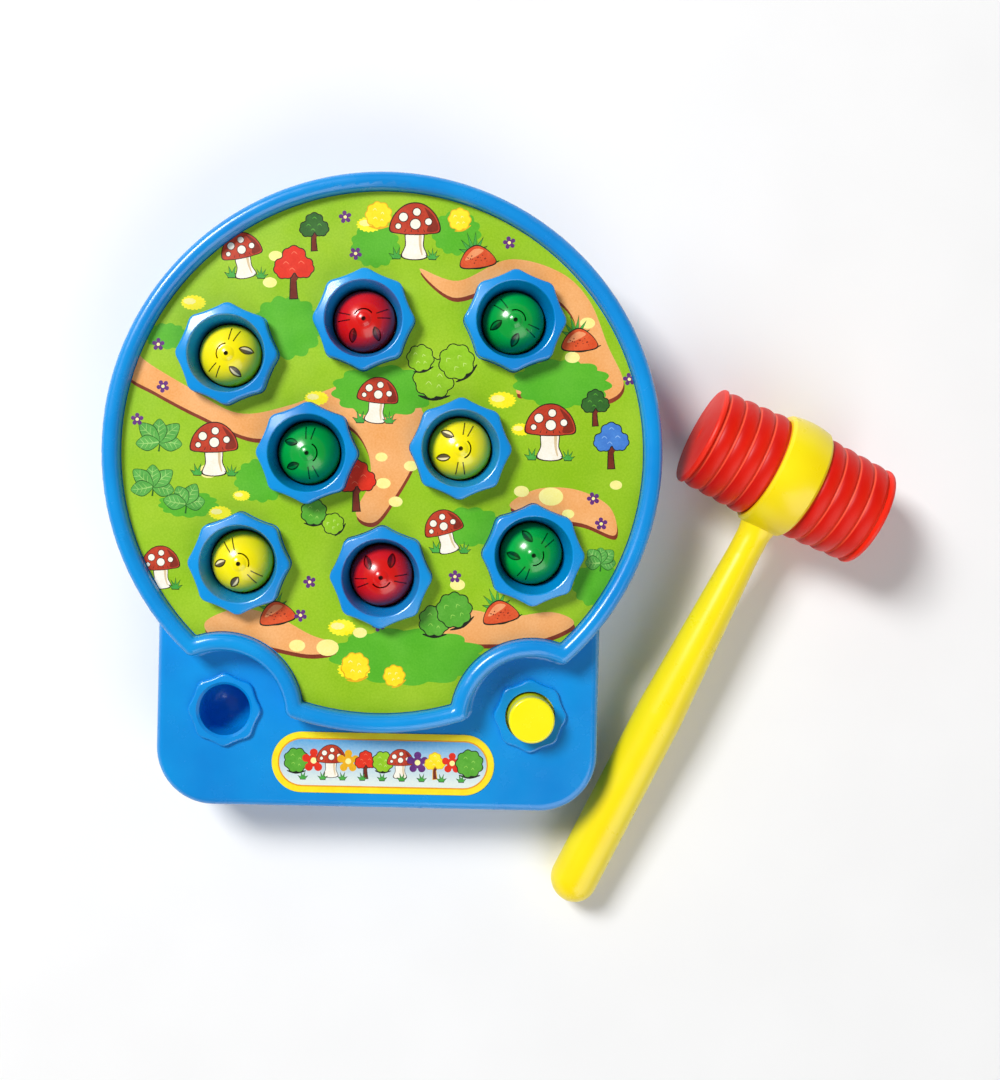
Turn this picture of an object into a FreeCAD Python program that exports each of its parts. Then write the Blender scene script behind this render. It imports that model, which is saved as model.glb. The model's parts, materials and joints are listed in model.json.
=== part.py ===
import FreeCAD
import Part
import math
import os

# Whack-a-mole toy with a squeaky hammer, in millimetres.
# The origin is on the table under the centre of the round platform.
# +Z is up, and the base panel with the button lies towards -Y.

V = FreeCAD.Vector
UP = V(0, 0, 1)

# Case
disc_r = 100.0
panel_width = 161.2
panel_front = 30.0
panel_corner_r = 21.0
wall = 2.2
floor_t = 2.0
split_z = 12.0
panel_z = 30.0
play_z = 36.6
rim_z = 42.0
bead_w = 6.3
bead_round = 2.9
deck_corner_r = 3.3
print_corner_r = 1.0
step_round = 2.0
panel_edge_r = 3.0
foot_edge_r = 2.0
seam_step = 0.4
lip_h = 2.0
lip_t = 1.0
lip_gap = 0.15

# Bosses on the base panel, each in a bite of the platform
boss_out = 9.77
boss_bearing = -59.63
bite_r = 22.9
boss_tip_r = 14.0
boss_valley_r = 12.2
boss_h = 1.8
boss_round = 0.8
pocket_r = 9.3
pocket_flare = 1.5
pocket_floor_z = 9.0
pocket_wall = 1.6
button_hole_r = 9.1

# Collars and guide tubes
star_points = 8
collar_tip_r = 18.7
collar_valley_r = 16.6
tip_round = 3.6
collar_z = 44.0
collar_edge_z = 42.6
collar_edge_r = 1.1
hole_r = 13.65
hole_edge_r = 0.8
guide_r = 11.7
guide_top_z = 33.0
guide_bottom_z = 29.5
guide_wall = 1.5

# Rings that the moles and the lift tongues share, each in from the one before
outer_ring_in = 35.0
middle_ring_in = 19.0
inner_ring_in = 18.8
outer_ring = disc_r - outer_ring_in
middle_ring = outer_ring - middle_ring_in
inner_ring = middle_ring - inner_ring_in

# Moles: name, ring, how far out of it, bearing of the collar, bearing that the face looks to
mole_places = [
    ("mole_yellow_1", outer_ring, 0.2, 148.7, -27.0),
    ("mole_red_1", middle_ring, 1.7, 98.9, -85.0),
    ("mole_green_1", outer_ring, 1.6, 45.9, -127.0),
    ("mole_green_2", inner_ring, -0.7, 181.7, 185.0),
    ("mole_yellow_2", inner_ring, 0.8, 3.9, 171.0),
    ("mole_yellow_3", outer_ring, -0.8, 219.1, -140.6),
    ("mole_red_2", middle_ring, -1.6, 270.8, 96.0),
    ("mole_green_3", outer_ring, 0.0, 327.0, 145.8),
]
mole_gap = 0.5
mole_top_z = 42.8
mole_wall = 1.8
mole_travel = 9.0
flange_over = 0.9
flange_t = 1.5
flange_gap = 0.4
peg_r = 3.5
peg_round = 1.2
muzzle_r = 4.6
muzzle_rise = 0.6
nose_r = 0.7
nose_depth = 1.4
eye_long = 5.2
eye_wide = 2.9
eye_out = 6.9
eye_spread = 38.0
eye_line = 0.5
engrave_depth = 0.45
whisker_near = 4.9
whisker_far = 9.4
whisker_w = 0.42
whisker_bearings = (90.0, 110.0)
smile_r = 3.6
smile_half = 58.0

# Printed card and nameplate
card_t = 0.4
card_gap = 0.25
plate_length = 80.9
plate_width = 22.0
plate_t = 0.3
plate_x = 2.4
plate_margin = 5.8

# Lifter disc, its axle and lift tongues
disc_top_z = 14.7
disc_web = 2.0
disc_rim_h = 3.5
disc_rim_w = 4.0
ring_module = 1.25
ring_inset = 26.25
final_teeth = 10
hub_r = 6.0
hub_gap = 0.3
axle_r = 1.5
axle_seat_r = 4.0
axle_seat_z = 6.0
axle_top_z = 26.0
axle_boss_r = 3.6
axle_boss_gap = 2.4
foot_gap = 0.3
run_fit = 0.05
seat_fit = 0.02
tongue_w = 7.0
tongue_t = 1.2
tongue_top = 8.6
tongue_steps = 8
# ring radius, bearing where a tongue starts, how far round it runs
tongues = [
    (outer_ring, 60.5, 54.0),
    (outer_ring, 240.5, 54.0),
    (middle_ring, 128.0, 62.0),
    (middle_ring, 308.0, 62.0),
    (inner_ring, 40.0, 95.0),
]

# Gear train between the motor and the disc
fine_module = 0.5
wheel_teeth = 40
pinion_teeth = 8
pressure = 20.0
dedendum = 1.25
fine_slack = 0.07
ring_slack = 0.16
# how far the teeth reach past the pitch circle, in modules
ring_addendum = 0.55
final_addendum = 0.85
wheel_addendum = 0.5
pinion_addendum = 0.9
second_bearing = -78.0
first_bearing = 180.0
motor_bearing = 190.0
floor_boss_r = 2.6
first_wheel_z = 3.2
wheel_w = 2.0
first_pinion_top = 8.2
second_wheel_z = 5.8
final_z = 10.9
final_top_z = 15.2
pin_r = 1.0
gear_gap = 0.3
plate_low_z = 8.6
plate_high_z = 10.3
post_r = 3.0
plate_screw_r = 1.1
plate_pilot_r = 0.9
plate_screw_depth = 5.0
plate_screw_head_h = 1.3
cross_depth = 0.7
shaft_top_z = 19.5
shaft_post_r = 2.8
shaft_post_gap = 0.8
plate_edge = 4.0
pin_seat_z = 1.1

# Motor
motor_w = 12.0
motor_d = 10.0
motor_h = 12.6
motor_cap_h = 2.4
motor_round = 2.0
motor_nose_r = 2.0
motor_nose_h = 0.9
motor_shaft_r = 0.5
motor_shaft_seat = 1.2
motor_shaft_end = 0.4
motor_pinion_over = 0.6
motor_pad = 0.4
motor_cap_step = 0.4
terminal_w = 1.6
terminal_t = 0.4
terminal_h = 1.8
terminal_x = 4.2

# Batteries
cell_r = 7.25
cell_length = 49.2
nub_r = 2.7
nub_h = 1.3
cell_x = 0.0
bay_front_wall = 0.8
cell_pitch = 15.2
cell_gap = 0.3
bay_gap = 0.5
bay_wall = 1.2
bay_end = 1.2
roof_gap = 0.4
roof_open = 4.0
rim_round = 0.7
contact_t = 0.5
contact_w = 9.0
contact_gap = 0.1
leaf_reach = 0.6
contact_low_z = 3.0
contact_h = 11.0
leaf_r = 3.2
door_gap = 0.2
door_ledge = 1.6
door_rest = 0.05
door_tab_w = 10.0
door_screw_off = 5.0
door_screw_r = 1.2
door_screw_length = 6.0
door_head_r = 2.1
door_head_h = 1.5
door_head_z = 0.4
door_cup_r = 3.4
door_cup_wall = 1.2
door_post_wall = 1.4
door_post_z = 9.0
hook_w = 5.0
hook_t = 0.8
hook_reach = 1.4
hook_root = 3.0

# Button and push switch
button_r = 8.25
button_wall = 1.6
button_top_z = 39.0
button_round = 1.0
button_flange = 1.7
button_flange_t = 1.5
button_stop = 0.3
button_travel = 3.5
plunger_r = 2.0
plunger_top_z = 19.0
plunger_stop = 0.3
switch_w = 11.0
switch_round = 1.0
switch_low_z = 7.0
switch_top_z = 15.0
switch_bore_z = 9.0
switch_seat_w = 8.0
spring_r = 4.3
spring_wire = 0.35
spring_turns = 5
spring_steps = 7
spring_gap = 0.1

# Screws that hold the case: bearings round the disc, then places on the base panel
case_post_in = 12.0
case_post_bearings = (20.0, 68.0, 112.0, 160.0, 200.0, 340.0)
panel_post_side = 12.6
panel_post_front = 13.0
case_post_r = 3.5
case_post_over = 0.8
case_post_low_z = 9.0
screw_r = 1.3
screw_fit = 0.05
screw_head_r = 2.5
screw_head_h = 1.6
screw_head_z = 3.6
screw_length = 11.0
screw_head_round = 0.6
screw_pass = 0.3
sink_gap = 0.3

# Hammer, first in its own frame: X along the head, -Y along the handle
head_off = 48.5
corner_off = 19.4
head_y = -5.6
head_bearing = -25.2
band_r = 21.3
band_width = 16.0
band_crown = 0.8
band_edge = 1.0
band_bore_r = 19.0
web_t = 2.0
handle_length = 180.6
grip_r = 8.8
neck_r = 5.9
neck_at = 27.0
neck_end = 33.0
grip_from = 100.0
flare_r = 6.9
flare_at = 20.3
handle_wall = 1.7
rib_r = 18.8
rib_root_r = 17.5
rib_taper = 1.1
rib_count = 4
rib_folded = 3.9
squeeze = 8.0
rib_pitch = rib_folded + squeeze / rib_count
rib_crest = 3.2
rib_groove = 0.5
bellows_wall = 1.3
bellows_neck_gap = 0.15
bellows_start = 8.3
face_gap = 0.2
face_t = 2.3
face_round = 1.2
face_crown = 0.5
face_wall = 1.6
whistle_r = 4.0
whistle_flange_r = 6.0
whistle_len = 7.0
whistle_bore_r = 1.2
whistle_flange_t = 1.5
whistle_gap = 0.05

# Leads
lead_r = 0.6
lead_bend = 4.0
lead_off = 0.1
lead_over_z = 20.8
lead_ceiling_z = 29.5

# Places, heights and radii that follow from the values above
panel_reach = disc_r + panel_front
boss_x = (disc_r + boss_out) * math.cos(math.radians(boss_bearing))
boss_y = (disc_r + boss_out) * math.sin(math.radians(boss_bearing))
plate_y = plate_margin + plate_width / 2 - panel_reach
ring_teeth = round(2 * (disc_r - ring_inset) / ring_module)
bay_half_y = cell_pitch / 2 + cell_r + bay_gap
cell_y = wall + lip_gap + bay_front_wall + bay_half_y - panel_reach
case_post_ring = disc_r - case_post_in
panel_post_x = panel_width / 2 - panel_post_side
panel_post_y = panel_post_front - panel_reach
# the hammer lies clear of the disc and of the base panel's corner
head_x = max(disc_r, panel_width / 2 + corner_off) + head_off
mole_r = guide_r - mole_gap
dome_z = mole_top_z - mole_r
peg_low_z = disc_top_z + foot_gap
flange_top_z = guide_bottom_z - mole_travel - flange_gap
cell_z = floor_t + cell_gap + cell_r
roof_z = cell_z + cell_r + roof_gap
bay_half_x = cell_length / 2 + nub_h + contact_t + bay_end
button_low_z = panel_z - wall - button_stop - button_flange_t
plunger_low_z = switch_bore_z + button_travel + plunger_stop
head_low = band_r + band_crown
grip_drop = math.degrees(math.asin((head_low - grip_r) / (handle_length - grip_r)))
face_at = bellows_start + rib_count * rib_pitch + rib_groove / 2 + face_gap


def at_bearing(radius, bearing, z=0.0):
    a = math.radians(bearing)
    return V(radius * math.cos(a), radius * math.sin(a), z)


def cyl(radius, low_z, high_z, x=0.0, y=0.0):
    return Part.makeCylinder(radius, high_z - low_z, V(x, y, low_z))


def tube(outer, inner, low_z, high_z, x=0.0, y=0.0):
    bore = cyl(inner, low_z - 1, high_z + 1, x, y)
    return cyl(outer, low_z, high_z, x, y).cut(bore)


def block(low, high):
    size = [b - a for a, b in zip(low, high)]
    return Part.makeBox(size[0], size[1], size[2], V(*low))


def turned(points):
    """A solid of revolution about the Z axis, from its (radius, z) points."""
    corners = [V(r, 0, z) for r, z in points]
    face = Part.Face(Part.makePolygon(corners + corners[:1]))
    return face.revolve(V(0, 0, 0), UP, 360)


def edges_at(shape, z):
    """The edges that lie in the level plane at z."""
    return [e for e in shape.Edges if all(abs(v.Z - z) < 1e-5 for v in e.Vertexes)]


def upright_edges(shape, radius, centre=V(0, 0, 0)):
    """The straight upright edges at a radius from a centre."""
    found = []
    for e in shape.Edges:
        a, b = e.Vertexes[0].Point, e.Vertexes[-1].Point
        level = math.hypot(a.x - centre.x, a.y - centre.y)
        if abs(a.z - b.z) > 0.1 and math.hypot(a.x - b.x, a.y - b.y) < 1e-5:
            if abs(level - radius) < 1e-4:
                found.append(e)
    return found


def joined(shapes):
    first, rest = shapes[0], shapes[1:]
    return first.fuse(rest).removeSplitter() if rest else first


def save(name, shape):
    shape.exportStep(os.path.join("parts", name + ".step"))


# Outlines of the case


def platform(inset, low_z, high_z, corner_r):
    """The round platform with its two bites, inset evenly from its outline."""
    body = cyl(disc_r - inset, low_z, high_z)
    for side in (-1, 1):
        body = body.cut(cyl(bite_r + inset, low_z - 1, high_z + 1, side * boss_x, boss_y))
    # a cut may leave the sliver of disc outside a bite
    body = max(body.Solids, key=lambda s: s.Volume)
    corners = [e for e in upright_edges(body, disc_r - inset) if abs(e.CenterOfMass.y) > 1]
    return body.makeFillet(corner_r, corners)


def panel(inset, low_z, high_z):
    half = panel_width / 2 - inset
    body = block((-half, inset - panel_reach, low_z), (half, -disc_r / 3, high_z))
    front = [e for e in body.Edges if abs(e.CenterOfMass.y - inset + panel_reach) < 1e-6]
    corners = [e for e in front if abs(abs(e.CenterOfMass.x) - half) < 1e-6]
    return body.makeFillet(panel_corner_r - inset, corners)


def footprint(inset, low_z, high_z):
    return cyl(disc_r - inset, low_z, high_z).fuse(panel(inset, low_z, high_z))


def star(tip_r, valley_r, low_z, high_z, x=0.0, y=0.0, spread=0.0):
    """An upright prism with rounded points and hollow flanks, one point towards +Y."""
    step = 360.0 / star_points
    flanks = []
    for k in range(star_points):
        start = 90 + k * step
        ends = [at_bearing(tip_r + spread, start + turn, low_z) for turn in (0, step)]
        middle = at_bearing(valley_r + spread, start + step / 2, low_z)
        flanks.append(Part.Arc(ends[0], middle, ends[1]).toShape())
    prism = Part.Face(Part.Wire(flanks)).extrude(V(0, 0, high_z - low_z))
    prism = prism.makeFillet(tip_round, upright_edges(prism, tip_r + spread))
    prism.translate(V(x, y, 0))
    return prism


def mole_spots():
    return [(name, at_bearing(r + out, b), look) for name, r, out, b, look in mole_places]


def case_post_spots():
    spots = [at_bearing(case_post_ring, b) for b in case_post_bearings]
    return spots + [V(side * panel_post_x, panel_post_y, 0) for side in (-1, 1)]


def ceiling_over(spot):
    """The middle of the top wall above a place inside the case."""
    under_deck = math.hypot(spot.x, spot.y) < disc_r - wall
    return (play_z if under_deck else panel_z) - wall / 2


# Gear places


def involute_gear(teeth, module, addendum, slack, low_z, high_z, centre, turn, bore):
    """A spur gear with involute flanks; turn is the bearing of one tooth's middle."""
    pitch_r = teeth * module / 2
    base_r = pitch_r * math.cos(math.radians(pressure))
    tip_r = pitch_r + addendum * module
    root_r = pitch_r - dedendum * module
    half_tooth = math.pi / (2 * teeth) - slack / (2 * pitch_r)
    flat = math.tan(math.radians(pressure)) - math.radians(pressure)
    start_r = max(base_r, root_r)
    levels = [start_r + (tip_r - start_r) * k / 4 for k in range(5)]
    flank = []
    for r in levels:
        angle = math.acos(min(1.0, base_r / r))
        flank.append((r, half_tooth + flat - (math.tan(angle) - angle)))
    if root_r < base_r:
        flank.insert(0, (root_r, flank[0][1]))
    points = []
    for k in range(teeth):
        middle = math.radians(turn) + 2 * math.pi * k / teeth
        side = [(r, middle - a) for r, a in flank]
        side += [(r, middle + a) for r, a in reversed(flank)]
        points += [V(r * math.cos(a), r * math.sin(a), low_z) for r, a in side]
    outline = Part.Face(Part.makePolygon(points + points[:1]))
    gear = outline.extrude(V(0, 0, high_z - low_z))
    gear = gear.cut(cyl(bore, low_z - 1, high_z + 1))
    gear.translate(V(centre.x, centre.y, 0))
    return gear


def meshing_turn(driven_teeth, other_teeth, bearing, other_turn):
    """The bearing of a tooth on a gear that meshes with one whose tooth is at other_turn."""
    rolled = (other_teeth / driven_teeth) * (bearing - other_turn)
    return bearing + 180 + 180 / driven_teeth + rolled


ring_pitch_r = ring_teeth * ring_module / 2
final_distance = (ring_teeth + final_teeth) * ring_module / 2
fine_distance = (wheel_teeth + pinion_teeth) * fine_module / 2
second_axis = at_bearing(final_distance, second_bearing)
first_axis = second_axis + at_bearing(fine_distance, first_bearing)
motor_axis = first_axis + at_bearing(fine_distance, motor_bearing)
ring_turn = 0.0
final_turn = meshing_turn(final_teeth, ring_teeth, second_bearing, ring_turn)
second_turn = 0.0
first_pinion_turn = meshing_turn(pinion_teeth, wheel_teeth, first_bearing, second_turn)
first_turn = 0.0
motor_turn = meshing_turn(pinion_teeth, wheel_teeth, motor_bearing, first_turn)

# Plate posts stand clear of the wheels
plate_posts = [
    second_axis + at_bearing(15.5, -20.0),
    first_axis + at_bearing(18.5, 95.0),
    motor_axis + at_bearing(12.0, 180.0),
]


# Case parts


def upper_case():
    body = joined([cyl(disc_r, split_z, panel_z), panel_with_edge()])
    deck = platform(0, split_z, play_z, deck_corner_r)
    body = body.fuse([deck, rim_bead()]).removeSplitter()
    body = body.makeFillet(step_round, step_edges(body)).cut(case_hollow())
    body = body.fuse(upper_fittings()).removeSplitter()
    return body.cut(upper_openings())


def step_edges(body):
    """The inner corner where the platform rises from the base panel."""
    side = panel_width / 2 - panel_edge_r - 0.1
    found = []
    for e in edges_at(body, panel_z):
        middle = e.valueAt((e.FirstParameter + e.LastParameter) / 2)
        if abs(middle.x) < side and middle.y > -disc_r - 0.1:
            found.append(e)
    return found


def panel_with_edge():
    body = panel(0, split_z, panel_z)
    top = [e for e in edges_at(body, panel_z) if e.CenterOfMass.y < -disc_r / 3 - 1]
    return body.makeFillet(panel_edge_r, top)


def rim_bead():
    """The raised rounded rim that follows the platform's outline."""
    ring = platform(0, play_z, rim_z, deck_corner_r)
    ring = ring.cut(platform(bead_w, play_z - 1, rim_z + 1, print_corner_r))
    return ring.makeFillet(bead_round, edges_at(ring, rim_z))


def case_hollow():
    low = split_z - 1
    return joined([
        cyl(disc_r - wall, low, panel_z - wall),
        panel(wall, low, panel_z - wall),
        platform(wall, low, play_z - wall, deck_corner_r),
    ])


def collar():
    """One scalloped collar at the origin, its top sloping away from the hole."""
    low = play_z - wall / 2
    body = star(collar_tip_r, collar_valley_r, low, collar_z + 1)
    dome = turned([
        (0, low - 1),
        (collar_tip_r + 1, low - 1),
        (collar_tip_r + 1, collar_edge_z),
        (hole_r, collar_z),
        (0, collar_z),
    ])
    body = body.common(dome)
    rim = [e for e in body.Edges if e.CenterOfMass.z > collar_edge_z - 0.5]
    outer = [e for e in rim if edge_reach(e) > collar_valley_r - 0.2]
    outer = [e for e in outer if abs(e.Vertexes[0].Z - e.Vertexes[-1].Z) < 0.5]
    return body.makeFillet(collar_edge_r, outer)


def edge_reach(edge):
    return max(math.hypot(v.X, v.Y) for v in edge.Vertexes)


def collar_hole():
    """The tapered opening and the straight guide of one mole, at the origin."""
    r = hole_edge_r
    return turned([
        (0, guide_bottom_z - 1),
        (guide_r, guide_bottom_z - 1),
        (guide_r, guide_top_z),
        (hole_r, collar_z - r),
        (hole_r + 0.3 * r, collar_z - 0.3 * r),
        (hole_r + r, collar_z + 0.01),
        (hole_r + r, collar_z + 2),
        (0, collar_z + 2),
    ])


def upper_fittings():
    parts = []
    one = collar()
    for _, spot, _ in mole_spots():
        parts.append(one.translated(spot))
        reach = guide_r + guide_wall
        parts.append(cyl(reach, guide_bottom_z, play_z - wall / 2, spot.x, spot.y))
    for side in (-1, 1):
        boss = star(boss_tip_r, boss_valley_r, panel_z - wall / 2, panel_z + boss_h)
        boss = boss.makeFillet(boss_round, edges_at(boss, panel_z + boss_h))
        parts.append(boss.translated(V(side * boss_x, boss_y, 0)))
    cup_low = pocket_floor_z - pocket_wall
    parts.append(cyl(pocket_r + pocket_wall, cup_low, panel_z, -boss_x, boss_y))
    for spot in case_post_spots():
        parts.append(cyl(case_post_r, case_post_low_z, ceiling_over(spot), spot.x, spot.y))
    parts.append(cyl(axle_boss_r, disc_top_z + axle_boss_gap, play_z - wall / 2))
    parts.append(cyl(
        shaft_post_r, final_top_z + shaft_post_gap, play_z - wall / 2, second_axis.x, second_axis.y
    ))
    return parts


def upper_openings():
    cuts = []
    hole = collar_hole()
    for _, spot, _ in mole_spots():
        cuts.append(hole.translated(spot))
    cuts.append(pocket_space())
    cuts.append(cyl(button_hole_r, panel_z - 2 * wall, panel_z + boss_h + 1, boss_x, boss_y))
    pilot_top = screw_head_z + screw_length + 1
    for spot in case_post_spots():
        cuts.append(cyl(screw_r + screw_fit, case_post_low_z - 1, pilot_top, spot.x, spot.y))
    cuts.append(cyl(axle_r + seat_fit, split_z, axle_top_z + 0.5))
    cuts.append(cyl(pin_r + run_fit, final_z, shaft_top_z + 0.5, second_axis.x, second_axis.y))
    return cuts


def pocket_space():
    """The blind pocket that parks the hammer, with a bowl for its round end."""
    mouth = panel_z + boss_h
    bowl = Part.makeSphere(pocket_r, V(-boss_x, boss_y, pocket_floor_z + pocket_r))
    shaft = cyl(pocket_r, pocket_floor_z + pocket_r, mouth + 1, -boss_x, boss_y)
    wide_r = pocket_r + pocket_flare
    flare = Part.makeCone(
        pocket_r, wide_r, pocket_flare, V(-boss_x, boss_y, mouth + 0.5 - pocket_flare)
    )
    return bowl.fuse([shaft, flare])


def lower_case():
    outer = footprint(seam_step, 0, split_z)
    outer = outer.removeSplitter()
    outer = outer.makeFillet(foot_edge_r, edges_at(outer, 0))
    body = outer.cut(footprint(wall, floor_t, split_z + 1).removeSplitter())
    lip = footprint(wall + lip_gap, floor_t, split_z + lip_h).removeSplitter()
    lip = lip.cut(footprint(wall + lip_gap + lip_t, floor_t - 1, split_z + lip_h + 1))
    foot = footprint(wall - 0.5, floor_t, split_z - 1).cut(
        footprint(wall + lip_gap + lip_t, floor_t - 1, split_z)
    )
    body = body.fuse([lip, foot]).removeSplitter()
    body = body.fuse(lower_fittings()).removeSplitter()
    return body.cut(lower_openings())


def bay_box(grow, low_z, high_z):
    """The space of the two cells with their contacts, grown sideways."""
    half_x = bay_half_x + grow
    half_y = bay_half_y + grow
    low = (cell_x - half_x, cell_y - half_y, low_z)
    return block(low, (cell_x + half_x, cell_y + half_y, high_z))


def lower_fittings():
    parts = []
    for spot in case_post_spots():
        reach = case_post_r + case_post_over
        parts.append(cyl(reach, floor_t / 2, case_post_low_z, spot.x, spot.y))
    parts.append(cyl(axle_seat_r, floor_t / 2, axle_seat_z))
    for axis in (first_axis, second_axis):
        parts.append(cyl(floor_boss_r, floor_t / 2, first_wheel_z - gear_gap, axis.x, axis.y))
    for spot in plate_posts:
        parts.append(cyl(post_r, floor_t / 2, plate_low_z, spot.x, spot.y))
    parts.append(cyl(switch_seat_w / 2, floor_t / 2, switch_low_z, boss_x, boss_y))
    x, y = door_screw_spot()
    parts.append(cyl(door_cup_r + door_gap + door_post_wall, floor_t / 2, door_post_z, x, y))
    parts.append(battery_bay())
    return parts


def battery_bay():
    """Walls round the cells and a roof over them, open above the contacts."""
    top = roof_z + bay_wall
    walls = bay_box(bay_wall, floor_t / 2, top).cut(bay_box(0, 0, roof_z))
    walls = walls.common(footprint(wall + lip_gap, 0, top))
    for side in (-1, 1):
        ends = sorted((side * (bay_half_x - roof_open), side * bay_half_x))
        walls = walls.cut(block((ends[0], -panel_reach, roof_z - 1), (ends[1], -disc_r, top + 1)))
    return walls


def lower_openings():
    cuts = []
    for spot in case_post_spots():
        cuts.append(cyl(screw_head_r + sink_gap, -1, screw_head_z, spot.x, spot.y))
        cuts.append(cyl(screw_r + screw_pass, 0, case_post_low_z + 1, spot.x, spot.y))
    cuts.append(cyl(axle_r + seat_fit, floor_t / 2, axle_seat_z + 1))
    for axis, fit in ((first_axis, seat_fit), (second_axis, run_fit)):
        cuts.append(cyl(pin_r + fit, floor_t / 2, first_wheel_z, axis.x, axis.y))
    for spot in plate_posts:
        cuts.append(cyl(plate_pilot_r, floor_t, plate_low_z + 1, spot.x, spot.y))
    cuts.append(bay_box(-door_ledge, -1, floor_t + 0.5))
    cuts.append(bay_box(bay_wall / 2, -1, floor_t / 2))
    cuts.append(door_tab(door_gap, -1, floor_t / 2))
    x, y = door_screw_spot()
    cuts.append(cyl(door_cup_r + door_gap, -1, door_cup_top() + door_rest, x, y))
    cuts.append(cyl(door_screw_r + screw_fit, 0, door_post_z + 1, x, y))
    return cuts


# Moles


def above_ball(prism):
    """The part of an upright prism that lies in the skin of a mole's dome."""
    centre = V(0, 0, dome_z)
    skin = Part.makeSphere(mole_r + 2, centre).cut(
        Part.makeSphere(mole_r - engrave_depth, centre)
    )
    return prism.common(skin)


def lens(long, wide):
    """An upright almond prism at the origin, long along X."""
    r = (long * long + wide * wide) / (4 * wide)
    shift = r - wide / 2
    low, high = dome_z, mole_top_z + 2
    return cyl(r, low, high, 0, shift).common(cyl(r, low, high, 0, -shift))


def face_marks():
    """The engraved lines of the face, looking towards +X from the nose at the pole."""
    marks = [cyl(nose_r, mole_top_z + muzzle_rise - nose_depth, mole_top_z + 2)]
    ring = lens(eye_long, eye_wide)
    ring = ring.cut(lens(eye_long - 2 * eye_line, eye_wide - 2 * eye_line))
    for side in (-1, 1):
        place = at_bearing(eye_out, side * eye_spread)
        eye = ring.copy()
        eye.rotate(V(0, 0, 0), UP, side * eye_spread * 0.35)
        marks.append(above_ball(eye.translated(place)))
        for bearing in whisker_bearings:
            marks.append(above_ball(whisker(side * bearing)))
    smile = tube(smile_r + eye_line / 2, smile_r - eye_line / 2, dome_z, mole_top_z + 2)
    wedge = Part.makeCylinder(
        2 * smile_r, mole_r + 3, V(0, 0, dome_z), UP, 2 * smile_half
    )
    wedge.rotate(V(0, 0, 0), UP, 180 - smile_half)
    marks.append(smile.common(wedge))
    return marks


def whisker(bearing):
    """A thin upright blade that runs outwards at a bearing."""
    half = whisker_w / 2
    length = whisker_far - whisker_near
    blade = block((0, -half, dome_z), (length, half, mole_top_z + 2))
    blade.rotate(V(0, 0, 0), UP, bearing)
    return blade.translated(at_bearing(whisker_near, bearing))


def mole_head():
    """One mole at the origin: dome, skirt, stop flange and the peg that rides the disc."""
    centre = V(0, 0, dome_z)
    body = cyl(mole_r, flange_top_z - flange_t, dome_z)
    body = body.fuse(Part.makeSphere(mole_r, centre))
    muzzle = Part.makeSphere(muzzle_r, V(0, 0, mole_top_z + muzzle_rise - muzzle_r))
    flange = cyl(mole_r + mole_gap + flange_over, flange_top_z - flange_t, flange_top_z)
    body = body.fuse([muzzle, flange]).removeSplitter()
    inner_r = mole_r - mole_wall
    hollow = cyl(inner_r, flange_top_z - flange_t - 1, dome_z)
    hollow = hollow.fuse(Part.makeSphere(inner_r, centre)).removeSplitter()
    peg = cyl(peg_r, peg_low_z, mole_top_z - mole_wall / 2)
    peg = peg.makeFillet(peg_round, edges_at(peg, peg_low_z))
    body = body.cut(hollow).fuse(peg).removeSplitter()
    for mark in face_marks():
        body = body.cut(mark)
    return body


# Print


def card():
    body = platform(bead_w + card_gap, play_z, play_z + card_t, print_corner_r)
    holes = [
        star(collar_tip_r, collar_valley_r, play_z - 1, play_z + 2, spot.x, spot.y, card_gap)
        for _, spot, _ in mole_spots()
    ]
    return body.cut(holes)


def nameplate():
    r = plate_width / 2
    straight = plate_length / 2 - r
    low, high = panel_z, panel_z + plate_t
    ends = [cyl(r, low, high, plate_x + side * straight, plate_y) for side in (-1, 1)]
    middle = block((plate_x - straight, plate_y - r, low), (plate_x + straight, plate_y + r, high))
    return joined([middle] + ends)


# Drive


def lifter_disc():
    rim_low = disc_top_z - disc_rim_h
    inner_r = ring_pitch_r - dedendum * ring_module - disc_rim_w
    rim = involute_gear(
        ring_teeth, ring_module, ring_addendum, ring_slack,
        rim_low, disc_top_z, V(0, 0, 0), ring_turn, inner_r,
    )
    web = cyl(inner_r + 1, disc_top_z - disc_web, disc_top_z)
    hub = cyl(hub_r, axle_seat_z + hub_gap, disc_top_z)
    body = rim.fuse([web, hub]).removeSplitter()
    return body.cut(cyl(axle_r + run_fit, 0, disc_top_z + 1))


def disc_axle():
    return cyl(axle_r, floor_t / 2 + 0.1, axle_top_z)


def tongue(ring_r, start, sweep):
    """A leaf that springs from the disc and rises round its ring to a free lip."""
    sections = []
    for k in range(tongue_steps + 1):
        share = k / tongue_steps
        rise = tongue_top * (3 * share**2 - 2 * share**3)
        low = disc_top_z + rise
        bearing = start + sweep * share
        corners = [
            at_bearing(ring_r - tongue_w / 2, bearing, low),
            at_bearing(ring_r + tongue_w / 2, bearing, low),
            at_bearing(ring_r + tongue_w / 2, bearing, low + tongue_t),
            at_bearing(ring_r - tongue_w / 2, bearing, low + tongue_t),
        ]
        sections.append(Part.makePolygon(corners + corners[:1]))
    return Part.makeLoft(sections, True, True)


def lift_tongues():
    return Part.makeCompound([tongue(*t) for t in tongues])


def first_gear():
    wheel = involute_gear(
        wheel_teeth, fine_module, wheel_addendum, fine_slack,
        first_wheel_z, first_wheel_z + wheel_w, first_axis, first_turn, pin_r + run_fit,
    )
    pinion = involute_gear(
        pinion_teeth, fine_module, pinion_addendum, fine_slack,
        first_wheel_z + wheel_w, first_pinion_top, first_axis, first_pinion_turn, pin_r + run_fit,
    )
    return wheel.fuse(pinion)


def first_pin():
    return cyl(pin_r, floor_t / 2 + 0.1, plate_high_z, first_axis.x, first_axis.y)


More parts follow.
